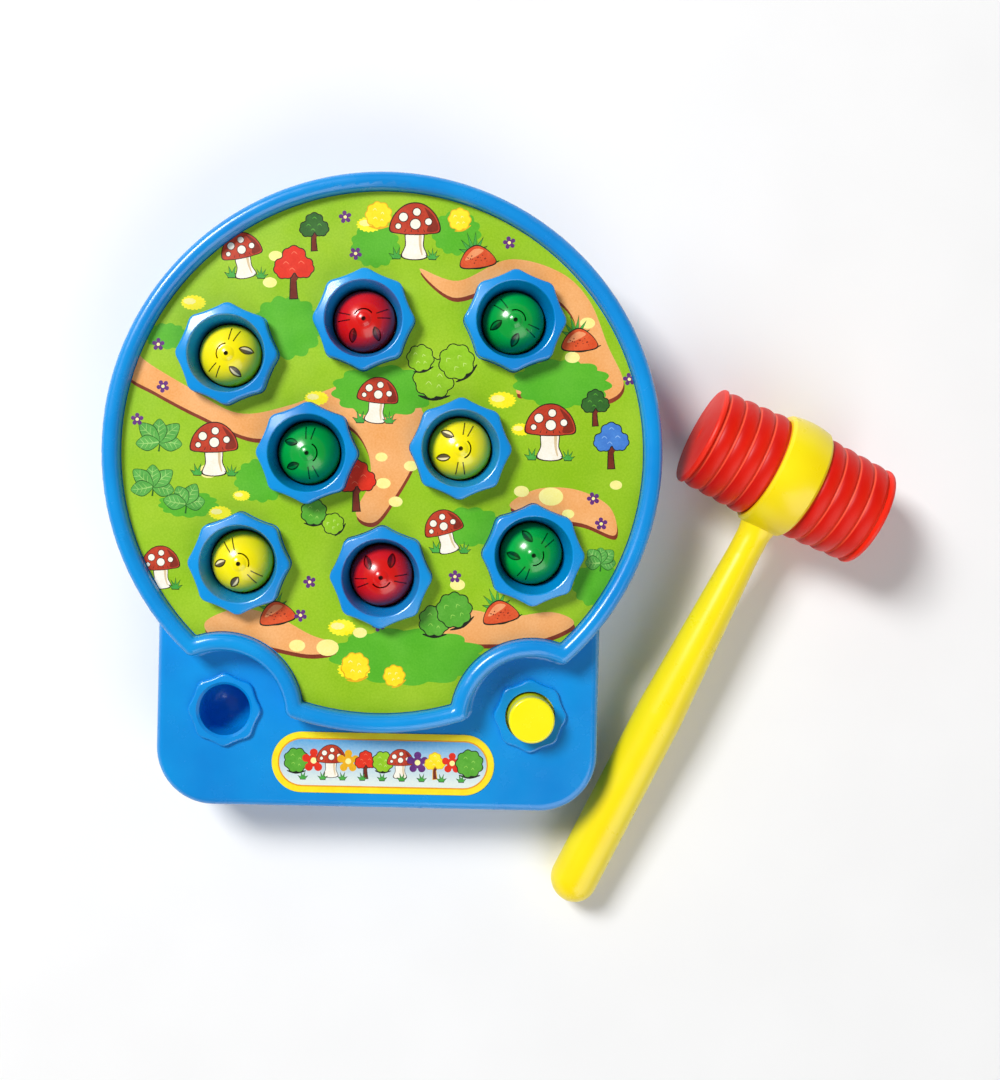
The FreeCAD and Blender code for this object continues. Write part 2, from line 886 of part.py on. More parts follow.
def second_wheel():
    return involute_gear(
        wheel_teeth, fine_module, wheel_addendum, fine_slack,
        second_wheel_z, second_wheel_z + wheel_w, second_axis, second_turn, pin_r + seat_fit,
    )


def second_shaft():
    return cyl(pin_r, floor_t / 2 + 0.1, shaft_top_z, second_axis.x, second_axis.y)


def final_pinion():
    return involute_gear(
        final_teeth, ring_module, final_addendum, ring_slack,
        final_z, final_top_z, second_axis, final_turn, pin_r + seat_fit,
    )


def gear_plate():
    """A flat plate over the wheels, from post to post, that carries the motor."""
    pads = [cyl(plate_edge, plate_low_z, plate_high_z, s.x, s.y) for s in plate_posts]
    pads += [
        cyl(plate_edge, plate_low_z, plate_high_z, axis.x, axis.y)
        for axis in (first_axis, second_axis)
    ]
    half = (motor_w / 2 + motor_pad, motor_d / 2 + motor_pad)
    pads.append(block(
        (motor_axis.x - half[0], motor_axis.y - half[1], plate_low_z),
        (motor_axis.x + half[0], motor_axis.y + half[1], plate_high_z),
    ))
    links = [
        (plate_posts[0], second_axis),
        (second_axis, first_axis),
        (first_axis, plate_posts[1]),
        (first_axis, motor_axis),
        (motor_axis, plate_posts[2]),
    ]
    for a, b in links:
        along = (b - a).normalize()
        side = V(-along.y, along.x, 0) * plate_edge
        corners = [p + V(0, 0, plate_low_z) for p in (a + side, b + side, b - side, a - side)]
        face = Part.Face(Part.makePolygon(corners + corners[:1]))
        pads.append(face.extrude(V(0, 0, plate_high_z - plate_low_z)))
    body = joined(pads)
    holes = [
        (first_axis, pin_r + seat_fit),
        (second_axis, pin_r + run_fit),
        (motor_axis, motor_nose_r + run_fit),
    ]
    holes += [(spot, plate_screw_r + screw_fit) for spot in plate_posts]
    return body.cut([cyl(r, 0, plate_high_z + 1, s.x, s.y) for s, r in holes])


def plate_screws():
    screws = []
    top = plate_high_z + plate_screw_head_h
    for s in plate_posts:
        shank = cyl(plate_pilot_r - screw_fit, plate_low_z - plate_screw_depth, plate_high_z, s.x, s.y)
        head = cyl(2 * plate_screw_r, plate_high_z, top, s.x, s.y)
        head = head.makeFillet(screw_head_round, edges_at(head, top))
        screw = shank.fuse(head).removeSplitter()
        screws.append(screw.cut(cross(s.x, s.y, plate_screw_r, top - cross_depth, top + 1)))
    return Part.makeCompound(screws)


def cross(x, y, reach, low_z, high_z):
    """The recess of a cross-head screw."""
    arm = reach / 4
    one = block((x - reach, y - arm, low_z), (x + reach, y + arm, high_z))
    two = block((x - arm, y - reach, low_z), (x + arm, y + reach, high_z))
    return one.fuse(two)


def motor_can():
    low = plate_high_z
    x, y = motor_axis.x, motor_axis.y
    body = block(
        (x - motor_w / 2, y - motor_d / 2, low), (x + motor_w / 2, y + motor_d / 2, low + motor_h)
    )
    corners = [e for e in body.Edges if abs(e.Vertexes[0].Z - e.Vertexes[-1].Z) > 1]
    body = body.makeFillet(motor_round, corners)
    body = body.fuse(cyl(motor_nose_r, low - motor_nose_h, low, x, y)).removeSplitter()
    return body.cut(cyl(motor_shaft_r + run_fit, low - 2, low + motor_h - 1, x, y))


def motor_cap():
    low = plate_high_z + motor_h
    x, y = motor_axis.x, motor_axis.y
    half = (motor_w / 2 - motor_cap_step, motor_d / 2 - motor_cap_step)
    body = block(
        (x - half[0], y - half[1], low), (x + half[0], y + half[1], low + motor_cap_h)
    )
    corners = [e for e in body.Edges if abs(e.Vertexes[0].Z - e.Vertexes[-1].Z) > 1]
    return body.makeFillet(motor_round, corners)


def motor_terminals():
    low = plate_high_z + motor_h + motor_cap_h
    x, y = motor_axis.x, motor_axis.y
    tabs = []
    for side in (-1, 1):
        middle = x + side * terminal_x
        tabs.append(block(
            (middle - terminal_w / 2, y - terminal_t / 2, low),
            (middle + terminal_w / 2, y + terminal_t / 2, low + terminal_h),
        ))
    return Part.makeCompound(tabs)


def motor_shaft():
    low, top = first_wheel_z - motor_shaft_end, plate_high_z + motor_h - motor_shaft_seat
    return cyl(motor_shaft_r, low, top, motor_axis.x, motor_axis.y)


def motor_pinion():
    return involute_gear(
        pinion_teeth, fine_module, pinion_addendum, fine_slack,
        first_wheel_z - gear_gap, first_wheel_z + wheel_w + motor_pinion_over, motor_axis, motor_turn,
        motor_shaft_r + seat_fit,
    )


# Power


def cell(side):
    """An AA cell along X; side is +1 or -1, the end of its nub and its row."""
    y = cell_y + side * cell_pitch / 2
    start = cell_x - side * cell_length / 2
    along = V(side, 0, 0)
    can = Part.makeCylinder(cell_r, cell_length, V(start, y, cell_z), along)
    rims = [e for e in can.Edges if e.Curve.TypeId == "Part::GeomCircle"]
    can = can.makeFillet(rim_round, rims)
    tip = V(start + side * cell_length, y, cell_z)
    return can.fuse(Part.makeCylinder(nub_r, nub_h, tip, along)).removeSplitter()


def contact(side, rows):
    """A contact plate at one end of the bay, with a leaf for each row of cells."""
    reach = cell_length / 2 + nub_h + contact_gap
    near = cell_x + side * (reach + leaf_reach)
    far = near + side * contact_t
    low_x, high_x = sorted((near, far))
    ys = [cell_y + row * cell_pitch / 2 for row in rows]
    plate = block(
        (low_x, min(ys) - contact_w / 2, contact_low_z),
        (high_x, max(ys) + contact_w / 2, contact_low_z + contact_h),
    )
    leaves = []
    for row, y in zip(rows, ys):
        # a cell's nub reaches further than its flat end
        touch = reach if row == side else reach - nub_h
        length = abs(near - cell_x) - touch
        leaves.append(Part.makeCone(
            leaf_r, leaf_r / 2, length, V(near, y, cell_z), V(-side, 0, 0)
        ))
    return joined([plate] + leaves)


def battery_door():
    """The hatch under the cells, flush with the underside, hooked in and screwed down."""
    tray = bay_box(bay_wall / 2 - door_gap, 0, floor_t / 2 - door_rest)
    plug = bay_box(-door_ledge - door_gap, 0, floor_t)
    x, y = door_screw_spot()
    tab = door_tab(0, 0, floor_t / 2 - door_rest)
    cup = cyl(door_cup_r, 0, door_cup_top(), x, y)
    inner_x = cell_x - bay_half_x + door_ledge + door_gap
    hook_top = floor_t + door_rest + hook_t
    foot = block(
        (inner_x, cell_y - hook_w / 2, floor_t / 2),
        (inner_x + hook_root, cell_y + hook_w / 2, hook_top),
    )
    hook = block(
        (inner_x - hook_reach, cell_y - hook_w / 2, floor_t + door_rest),
        (inner_x + hook_root, cell_y + hook_w / 2, hook_top),
    )
    body = tray.fuse([plug, tab, cup, foot, hook]).removeSplitter()
    body = body.cut(cyl(door_head_r + sink_gap, -1, door_head_z + door_head_h, x, y))
    return body.cut(cyl(door_screw_r + screw_pass, -1, door_cup_top() + 1, x, y))


def door_screw_spot():
    return cell_x + bay_half_x + bay_wall + door_screw_off, cell_y


def door_cup_top():
    return door_head_z + door_head_h + door_cup_wall


def door_tab(grow, low_z, high_z):
    """The rounded tab of the battery door that takes its screw, grown sideways."""
    x, y = door_screw_spot()
    half = door_tab_w / 2 + grow
    return block((x - door_screw_off - bay_wall, y - half, low_z), (x, y + half, high_z)).fuse(
        cyl(half, low_z, high_z, x, y)
    )


def door_screw():
    x, y = door_screw_spot()
    neck_z = door_head_z + door_head_h
    shank = cyl(door_screw_r, neck_z, neck_z + door_screw_length, x, y)
    head = cyl(door_head_r, door_head_z, neck_z, x, y)
    head = head.makeFillet(screw_head_round, edges_at(head, door_head_z))
    screw = shank.fuse(head).removeSplitter()
    return screw.cut(cross(x, y, door_screw_r, -1, door_head_z + cross_depth))


# Button


def button_cap():
    top = cyl(button_r, button_low_z, button_top_z)
    top = top.makeFillet(button_round, edges_at(top, button_top_z))
    flange = cyl(button_r + button_flange, button_low_z, button_low_z + button_flange_t)
    body = top.fuse(flange).removeSplitter()
    body = body.cut(cyl(button_r - button_wall, button_low_z - 1, button_top_z - button_wall))
    peg = cyl(plunger_r, plunger_top_z, button_top_z - button_wall / 2)
    return body.fuse(peg).removeSplitter().translated(V(boss_x, boss_y, 0))


def switch_body():
    half = switch_w / 2
    body = block((-half, -half, switch_low_z), (half, half, switch_top_z))
    corners = [e for e in body.Edges if abs(e.Vertexes[0].Z - e.Vertexes[-1].Z) > 1]
    body = body.makeFillet(switch_round, corners)
    body = body.cut(cyl(plunger_r + run_fit, switch_bore_z, switch_top_z + 1))
    return body.translated(V(boss_x, boss_y, 0))


def switch_plunger():
    return cyl(plunger_r, plunger_low_z, plunger_top_z, boss_x, boss_y)


def button_spring():
    """A coil between the switch body and the underside of the cap."""
    low = switch_top_z + spring_wire + spring_gap
    high = button_top_z - button_wall - spring_wire - spring_gap
    pitch = (high - low) / spring_turns
    spots = []
    for k in range(spring_turns * spring_steps + 1):
        turn = k / spring_steps
        spots.append(at_bearing(spring_r, 360 * turn, low + pitch * turn))
    return bent_wire(spots, spring_wire, spring_r).translated(V(boss_x, boss_y, 0))


# Case screws


def case_screws():
    screws = []
    for spot in case_post_spots():
        low = screw_head_z - screw_head_h
        head = cyl(screw_head_r, low, screw_head_z, spot.x, spot.y)
        head = head.makeFillet(screw_head_round, edges_at(head, low))
        shank = cyl(screw_r, screw_head_z, screw_head_z + screw_length, spot.x, spot.y)
        screw = head.fuse(shank).removeSplitter()
        screws.append(screw.cut(cross(spot.x, spot.y, screw_r, low - 1, low + cross_depth)))
    return Part.makeCompound(screws)


# Hammer


def placed(shape):
    """A piece of the hammer, moved from its own frame to where the hammer lies."""
    shape = shape.copy()
    shape.rotate(V(0, 0, 0), V(1, 0, 0), grip_drop)
    shape.rotate(V(0, 0, 0), UP, head_bearing)
    shape.translate(V(head_x, head_y, head_low))
    return shape


def grip_profile(inset):
    """Radius and place of the handle's outline below the head, and its round end."""
    end = handle_length - grip_r
    return [
        (flare_r - inset, flare_at),
        (neck_r + (flare_r - neck_r) * 0.3 - inset, (flare_at + neck_at) / 2 - 0.8),
        (neck_r - inset, neck_at),
        (neck_r - inset, neck_end),
        (grip_r - inset, grip_from),
        (grip_r - inset, end),
    ]


def grip(inset, start):
    """The handle as a turned solid along -Y, drawn inwards by inset."""
    outline = grip_profile(inset)
    spots = [V(r, -d, 0) for r, d in outline]
    flare = Part.Arc(spots[0], spots[1], spots[2]).toShape()
    swell = Part.makePolygon(spots[2:]).Edges
    end = spots[-1]
    tip = V(0, end.y - grip_r + inset, 0)
    shoulder = V(
        (grip_r - inset) * math.cos(math.pi / 4), end.y - (grip_r - inset) * math.sin(math.pi / 4), 0
    )
    cap = Part.Arc(end, shoulder, tip).toShape()
    top = V(0, -start, 0)
    lead_in = Part.makePolygon([tip, top, V(spots[0].x, -start, 0), spots[0]]).Edges
    outline = Part.Wire(Part.sortEdges([flare, cap] + swell + lead_in)[0])
    return Part.Face(outline).revolve(V(0, 0, 0), V(0, 1, 0), 360)


def band_barrel():
    """The ring round the middle of the head, slightly crowned, along X."""
    half = band_width / 2
    edge = band_edge
    arc = Part.Arc(
        V(-half + edge, band_r, 0), V(0, band_r + band_crown, 0), V(half - edge, band_r, 0)
    ).toShape()
    rest = Part.makePolygon([
        V(half - edge, band_r, 0), V(half, band_r - edge, 0), V(half, 0, 0),
        V(-half, 0, 0), V(-half, band_r - edge, 0), V(-half + edge, band_r, 0),
    ])
    face = Part.Face(Part.Wire(Part.sortEdges([arc] + rest.Edges)[0]))
    return face.revolve(V(0, 0, 0), V(1, 0, 0), 360)


def cyl_x(radius, low_x, high_x):
    return Part.makeCylinder(radius, high_x - low_x, V(low_x, 0, 0), V(1, 0, 0))


def hammer_handle():
    """Handle and head ring in one moulding, with a web that carries the whistles."""
    body = grip(0, band_bore_r - 0.5).fuse(band_barrel()).removeSplitter()
    half = band_width / 2
    bores = cyl_x(band_bore_r, web_t / 2, half + 1).fuse(
        cyl_x(band_bore_r, -half - 1, -web_t / 2)
    )
    body = body.cut(bores)
    body = body.cut(grip(handle_wall, band_bore_r - 1.5))
    return body.cut(cyl_x(whistle_r + whistle_gap, -half, half))


def bellows(side):
    """The pleated sleeve on one side of the head, open at both ends."""
    outer, inner = [], []
    neck_r_out = band_bore_r - bellows_neck_gap
    flank = (rib_pitch - rib_crest - rib_groove) / 2
    x = bellows_start
    circles = [(web_t / 2 + 0.1, neck_r_out), (x - 0.6, neck_r_out), (x, rib_root_r + rib_taper)]
    for k in range(rib_count):
        start = x + k * rib_pitch + rib_groove / 2
        # the sleeve tapers from the band to the striking face
        more = rib_taper * (1 - k / rib_count)
        less = rib_taper * (1 - (k + 1) / rib_count)
        circles += [
            (start, rib_root_r + more),
            (start + flank, rib_r + more),
            (start + flank + rib_crest, rib_r + less),
            (start + 2 * flank + rib_crest - 0.001, rib_root_r + less),
        ]
    end = x + rib_count * rib_pitch + rib_groove / 2
    circles.append((end, rib_root_r))
    for place, radius in circles:
        outer.append(circle_x(side * place, radius))
        inner.append(circle_x(side * place, radius - bellows_wall))
    first, last = circles[0], circles[-1]
    inner.insert(0, circle_x(side * (first[0] - 1), first[1] - bellows_wall))
    inner.append(circle_x(side * (last[0] + 1), last[1] - bellows_wall))
    body = Part.makeLoft(outer, True, True)
    return body.cut(Part.makeLoft(inner, True, True))


def circle_x(place, radius):
    return Part.Wire(Part.makeCircle(radius, V(place, 0, 0), V(1, 0, 0)))


def striking_face(side):
    """The closed end of a bellows, slightly domed with a rounded edge."""
    x, far = face_at, face_at + face_t
    edge_x, edge_r = far - face_round, rib_r - face_round
    corner = face_round * math.sqrt(0.5)
    dome_r = (edge_r**2 + face_crown**2) / (2 * face_crown)
    dome_x = far + face_crown - dome_r
    half = math.asin(edge_r / dome_r) / 2
    arcs = [
        Part.Arc(V(edge_x, rib_r, 0), V(edge_x + corner, edge_r + corner, 0), V(far, edge_r, 0)),
        Part.Arc(
            V(far, edge_r, 0),
            V(dome_x + dome_r * math.cos(half), dome_r * math.sin(half), 0),
            V(far + face_crown, 0, 0),
        ),
    ]
    lines = Part.makePolygon([
        V(far + face_crown, 0, 0), V(x, 0, 0), V(x, rib_root_r, 0),
        V(x + 0.8, rib_r, 0), V(edge_x, rib_r, 0),
    ])
    outline = Part.Wire(Part.sortEdges([a.toShape() for a in arcs] + lines.Edges)[0])
    body = Part.Face(outline).revolve(V(0, 0, 0), V(1, 0, 0), 360)
    hollow = cyl_x(rib_root_r - bellows_wall, x - 1, far - face_wall)
    body = body.cut(hollow)
    if side < 0:
        body = body.mirror(V(0, 0, 0), V(1, 0, 0))
    return body


def whistle(side):
    """The squeaker that blows when its bellows is struck."""
    body = cyl_x(whistle_r, 0.1, whistle_len)
    seat = web_t / 2 + whistle_gap
    body = body.fuse(cyl_x(whistle_flange_r, seat, seat + whistle_flange_t))
    body = body.cut(cyl_x(whistle_bore_r, -1, whistle_len + 1)).removeSplitter()
    if side < 0:
        body = body.mirror(V(0, 0, 0), V(1, 0, 0))
    return body


# Leads


def bent_wire(pts, wire_r, bend):
    """A round wire along the points, its corners rounded to one radius where there is room."""
    edges = []
    start = pts[0]
    for k in range(1, len(pts) - 1):
        before = (pts[k - 1] - pts[k]).normalize()
        after = (pts[k + 1] - pts[k]).normalize()
        half = math.acos(max(-1, min(1, before.dot(after)))) / 2
        runs = ((pts[k - 1] - pts[k]).Length, (pts[k + 1] - pts[k]).Length)
        cut = min(bend / math.tan(half), 0.45 * min(runs))
        radius = cut * math.tan(half)
        a, b = pts[k] + before * cut, pts[k] + after * cut
        middle = (before + after).normalize()
        centre = pts[k] + middle * (radius / math.sin(half))
        top = centre - middle * radius
        edges.append(Part.LineSegment(start, a).toShape())
        edges.append(Part.Arc(a, top, b).toShape())
        start = b
    edges.append(Part.LineSegment(start, pts[-1]).toShape())
    path = Part.Wire(edges)
    ring = Part.Wire(Part.makeCircle(wire_r, pts[0], pts[1] - pts[0]))
    return path.makePipeShell([ring], True, False)


def lead(points):
    return bent_wire([V(*p) for p in points], lead_r, lead_bend)


def leads():
    """Plus contact to switch, minus contact to motor, and switch to motor."""
    start_x = cell_x + cell_length / 2 + nub_h + contact_gap + leaf_reach + contact_t / 2
    start_z = contact_low_z + contact_h + lead_off
    plus_y, minus_y = cell_y + cell_pitch / 2, cell_y - cell_pitch / 2
    half = switch_w / 2 + lead_off
    side_z = (switch_low_z + switch_top_z) / 2
    tab_z = plate_high_z + motor_h + motor_cap_h + terminal_h
    tabs = [motor_axis.x + side * terminal_x for side in (-1, 1)]
    tab_y = motor_axis.y
    tab_side = tabs[1] + terminal_w / 2 + lead_off
    plus = lead([
        (start_x, plus_y, start_z),
        (start_x, plus_y, lead_over_z),
        (start_x + 12, plus_y + 3, lead_over_z),
        (boss_x - half - 6, boss_y, side_z),
        (boss_x - half, boss_y, side_z),
    ])
    minus = lead([
        (start_x, minus_y, start_z),
        (start_x, minus_y, lead_over_z + 1),
        (cell_x + 16, cell_y + 4, lead_over_z + 2),
        (tab_side + 8, tab_y - 2, tab_z - 1),
        (tab_side, tab_y, tab_z - 1),
    ])
    link = lead([
        (boss_x, boss_y + half, side_z),
        (boss_x, boss_y + half + 6, side_z),
        (boss_x - 8.5, boss_y + 11.7, side_z + 6),
        (second_axis.x + 9, second_axis.y - 7, side_z + 12),
        (second_axis.x - 12, second_axis.y - 6, lead_ceiling_z),
        (tabs[0], tab_y, lead_ceiling_z + 2),
        (tabs[0], tab_y, tab_z + lead_off),
    ])
    return plus, minus, link


def main():
    os.makedirs("parts", exist_ok=True)
    save("top_shell", upper_case())
    save("bottom_shell", lower_case())
    save("play_face_card", card())
    save("nameplate", nameplate())
    head = mole_head()
    for name, spot, look in mole_spots():
        mole = head.copy()
        mole.rotate(V(0, 0, 0), UP, look)
        save(name, mole.translated(spot))
    save("lifter_disc", lifter_disc())
    save("disc_axle", disc_axle())
    save("lift_tongues", lift_tongues())
    save("first_gear", first_gear())
    save("first_gear_pin", first_pin())
    save("second_wheel", second_wheel())
    save("second_shaft", second_shaft())
    save("final_pinion", final_pinion())
    save("gear_plate", gear_plate())
    save("plate_screws", plate_screws())
    save("motor_can", motor_can())
    save("motor_cap", motor_cap())
    save("motor_terminals", motor_terminals())
    save("motor_shaft", motor_shaft())
    save("motor_pinion", motor_pinion())
    save("cell_1", cell(1))
    save("cell_2", cell(-1))
    save("contact_bridge", contact(-1, (-1, 1)))
    save("contact_plus", contact(1, (1,)))
    save("contact_minus", contact(1, (-1,)))
    save("battery_door", battery_door())
    save("battery_door_screw", door_screw())
    save("button_cap", button_cap())
    save("switch_body", switch_body())
    save("switch_plunger", switch_plunger())
    save("button_spring", button_spring())
    save("case_screws", case_screws())
    save("hammer_handle", placed(hammer_handle()))
    for side, word in ((-1, "left"), (1, "right")):
        save("bellows_" + word, placed(bellows(side)))
        save("face_" + word, placed(striking_face(side)))
        save("whistle_" + word, placed(whistle(side)))
    for word, wire in zip(("plus", "minus", "link"), leads()):
        save("lead_" + word, wire)


if __name__ == "__main__":
    main()
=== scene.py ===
import json
import math
import random
import bpy
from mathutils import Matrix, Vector
from mathutils.geometry import delaunay_2d_cdt


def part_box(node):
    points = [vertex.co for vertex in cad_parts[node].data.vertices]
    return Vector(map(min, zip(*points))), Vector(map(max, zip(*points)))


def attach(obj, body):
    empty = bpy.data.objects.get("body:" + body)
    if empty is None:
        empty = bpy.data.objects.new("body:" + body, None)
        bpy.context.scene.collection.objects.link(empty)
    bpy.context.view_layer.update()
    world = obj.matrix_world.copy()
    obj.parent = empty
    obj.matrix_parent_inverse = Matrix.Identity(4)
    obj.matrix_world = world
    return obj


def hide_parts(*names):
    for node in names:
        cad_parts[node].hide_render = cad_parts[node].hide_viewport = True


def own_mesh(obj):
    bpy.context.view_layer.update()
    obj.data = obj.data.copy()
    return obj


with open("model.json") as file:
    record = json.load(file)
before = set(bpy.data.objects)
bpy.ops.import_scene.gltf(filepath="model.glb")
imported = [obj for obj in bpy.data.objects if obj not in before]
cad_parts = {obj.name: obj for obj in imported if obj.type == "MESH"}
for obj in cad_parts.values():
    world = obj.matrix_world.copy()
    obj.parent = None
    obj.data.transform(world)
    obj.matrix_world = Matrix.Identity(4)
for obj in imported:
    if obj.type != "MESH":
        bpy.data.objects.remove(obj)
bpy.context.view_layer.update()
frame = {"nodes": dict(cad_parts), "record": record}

MM = 0.001
NODES = frame["nodes"]
SLOT_OF = {row["node"]: row["material_slot"] for row in frame["record"]["subparts"]}
BODY_OF = {n: b for b, ns in frame["record"]["behaviour"]["bodies"].items() for n in ns}

# Named lengths are in millimetres and named angles in degrees, apart from the studio's metres.

# The way that each mole looks, as an angle round its middle
MOLES = {
    "mole_yellow_1": -27.0,
    "mole_red_1": -85.0,
    "mole_green_1": -127.0,
    "mole_green_2": 185.0,
    "mole_yellow_2": 171.0,
    "mole_yellow_3": -140.6,
    "mole_red_2": 96.0,
    "mole_green_3": 145.8,
}
MOLE_R = 11.2
MOLE_DOME_Z = 31.6
EYE_REACH = 6.9
EYE_BEARING = 38.0
EYE_TURN = 13.3
EYE_ARC_SHIFT = 1.85
# The paint and painted shade on a mole fade between the two values of each pair
FACE_EDGE = (4.0, 4.5)
MUZZLE_EDGE = (4.4, 4.6)
NOSE_EDGE = (0.72, 0.9)
EYE_EDGE = (2.78, 2.9)
EYE_SPLIT = (-0.05, 0.2)
PAINT_AND_SHADE_DEPTH = (0.3, 0.12)

# The pleated sleeves of the hammer, along the head's axis from its middle
SLEEVE_NECK = 2.0
SLEEVE_NECK_GAP = 0.7
SLEEVE_START = 8.3
SLEEVE_END = 32.33
SLEEVE_NECK_R = 18.8
SLEEVE_WALL = 1.3
SLEEVE_SIDES = 108
PLEATS = 4
PLEAT_STEPS = 14
PLEAT_PITCH = 5.9
PLEAT_R = 18.8
PLEAT_ROOT_R = 17.45
PLEAT_TAPER = 1.1
PLEAT_GROOVE = 0.2
PLEAT_ROUND = 2.1

# The printed films lie this far above the card and the label
FILM_LIFT = 0.02


# Materials

MATH, VECTOR, RANGE = "ShaderNodeMath", "ShaderNodeVectorMath", "ShaderNodeMapRange"
NOISE, RAMP, MIX = "ShaderNodeTexNoise", "ShaderNodeValToRGB", "ShaderNodeMixRGB"
SPLIT, ROTATE = "ShaderNodeSeparateXYZ", "ShaderNodeVectorRotate"
# A noise mostly stays between these two values
LOW, HIGH = 0.3, 0.7
SMUDGE = 9.0
PIGMENT_DRIFT = 40.0
GRAIN_DEPTH = 0.05


def linear(code):
    """A linear RGBA colour from its sRGB hex code."""
    parts = [int(code[k:k + 2], 16) / 255 for k in (0, 2, 4)]
    return [c / 12.92 if c <= 0.04045 else ((c + 0.055) / 1.055) ** 2.4 for c in parts] + [1.0]


def per_mm(size):
    """The texture scale whose features are about this many millimetres."""
    return 1.0 / (size * MM)


def metres(sizes):
    """Millimetres turned to metres."""
    return [size * MM for size in sizes]


def node(tree, kind, feeds=(), stops=(), **settings):
    """Adds a node; each feed is a constant, a socket, or a node whose first output is linked."""
    made = tree.nodes.new(kind)
    for name, value in settings.items():
        setattr(made, name, value)
    for name, value in (feeds.items() if isinstance(feeds, dict) else enumerate(feeds)):
        value = value.outputs[0] if isinstance(value, bpy.types.Node) else value
        if isinstance(value, bpy.types.NodeSocket):
            tree.links.new(value, made.inputs[name])
        else:
            made.inputs[name].default_value = value
    for _ in stops[2:]:
        made.color_ramp.elements.new(1.0)
    for k, (place, code) in enumerate(stops):
        made.color_ramp.elements[k].position = place
        made.color_ramp.elements[k].color = linear(code)
    return made


def surface(name, **constants):
    """A new material; the constants go on the shader's own sockets."""
    mat = bpy.data.materials.new(name)
    mat.use_nodes = True
    tree = mat.node_tree
    tree.nodes.clear()
    shader = node(tree, "ShaderNodeBsdfPrincipled")
    node(tree, "ShaderNodeOutputMaterial", {"Surface": shader})
    for socket, value in constants.items():
        shader.inputs[socket.replace("_", " ")].default_value = value
    return mat, tree, shader, node(tree, "ShaderNodeTexCoord").outputs["Object"]


def gloss_and_grain(tree, shader, at, colour, rough, swing, grain_mm, bump):
    """Links the colour, finger smudges in the gloss, and the surface's own grain as a bump."""
    tree.links.new(colour.outputs[0], shader.inputs["Base Color"])
    smudge = node(
        tree, NOISE, {"Vector": at, "Scale": per_mm(SMUDGE), "Detail": 4.0, "Roughness": 0.62}
    )
    gloss = node(tree, RANGE, [smudge, LOW, HIGH, rough - swing, rough + swing])
    tree.links.new(gloss.outputs[0], shader.inputs["Roughness"])
    grain = node(tree, NOISE, {"Vector": at, "Scale": per_mm(grain_mm), "Detail": 3.0})
    feeds = {"Height": grain, "Strength": bump, "Distance": GRAIN_DEPTH * MM}
    lift = node(tree, "ShaderNodeBump", feeds)
    tree.links.new(lift.outputs[0], shader.inputs["Normal"])


def moulded(name, dark, light, rough, swing, grain_mm, bump, **constants):
    """Moulded plastic, coloured right through, whose pigment drifts a little across it."""
    mat, tree, shader, at = surface(name, **constants)
    pigment = node(tree, NOISE, {"Vector": at, "Scale": per_mm(PIGMENT_DRIFT), "Detail": 3.0})
    colour = node(tree, RAMP, [pigment], [(LOW, dark), (HIGH, light)])
    gloss_and_grain(tree, shader, at, colour, rough, swing, grain_mm, bump)
    return mat


def drawn_steel(name, dark, light, rough):
    """Drawn or turned steel, with fine lines round it that take the light in streaks."""
    mat, tree, shader, at = surface(name, Metallic=1.0)
    drawn = node(tree, "ShaderNodeMapping", {"Vector": at, "Scale": (1.0, 1.0, 12.0)})
    lines = node(tree, NOISE, {"Vector": drawn, "Scale": per_mm(2.0), "Detail": 4.0})
    colour = node(tree, RAMP, [lines], [(LOW, dark), (HIGH, light)])
    # real lines are 0.05 mm apart, drawn at 0.6 mm so that they show
    gloss_and_grain(tree, shader, drawn, colour, rough, swing=0.08, grain_mm=0.6, bump=0.15)
    return mat


def varnished_print(name, dark, light, drift_mm=6.0, fade=None):
    """Offset ink on paper; fade is the low and high Y of an ink that changes up the sheet."""
    # varnished: one even half gloss over every ink
    mat, tree, shader, at = surface(name, IOR=1.5, Coat_Weight=0.15, Coat_Roughness=0.14)
    if fade:
        up = node(tree, SPLIT, [at]).outputs["Y"]
        drift = node(tree, RANGE, [up, *metres(fade), LOW, HIGH])
    else:
        drift = node(tree, NOISE, {"Vector": at, "Scale": per_mm(drift_mm), "Detail": 3.0})
    # the ink's dots are 0.15 mm, drawn at 0.7 mm so that the print isn't flat
    dots = node(tree, NOISE, {"Vector": at, "Scale": per_mm(0.7), "Detail": 1.0})
    speck = 0.02 if fade else 0.12
    specks = node(tree, RANGE, [dots, LOW, HIGH, -speck, speck])
    tone = node(tree, MATH, [drift, specks], operation="ADD")
    colour = node(tree, RAMP, [tone], [(0.28, dark), (0.72, light)])
    gloss_and_grain(tree, shader, at, colour, rough=0.36, swing=0.05, grain_mm=0.8, bump=0.1)
    return mat


def engraved_eye(tree, at, bearing, turn):
    """Masks of an eye: its whole almond shape, and the half nearer the middle of the face."""
    spot = (EYE_REACH * MM * math.cos(bearing), EYE_REACH * MM * math.sin(bearing), 0)
    own = node(tree, VECTOR, [at, spot], operation="SUBTRACT")
    own = node(tree, ROTATE, {"Vector": own, "Angle": -turn}, rotation_type="Z_AXIS")
    arcs = [
        node(tree, VECTOR, [own, (0, k * EYE_ARC_SHIFT * MM, 0)], operation="DISTANCE")
        for k in (-1, 1)
    ]
    lens = node(tree, MATH, [arc.outputs["Value"] for arc in arcs], operation="MAXIMUM")
    whole = node(tree, RANGE, [lens, *metres(EYE_EDGE), 1.0, 0.0])
    across = node(tree, SPLIT, [own]).outputs["Y"]
    side = 1 if bearing > 0 else -1
    inner = node(tree, RANGE, [across, *metres([side * v for v in EYE_SPLIT]), 1.0, 0.0])
    return whole, inner


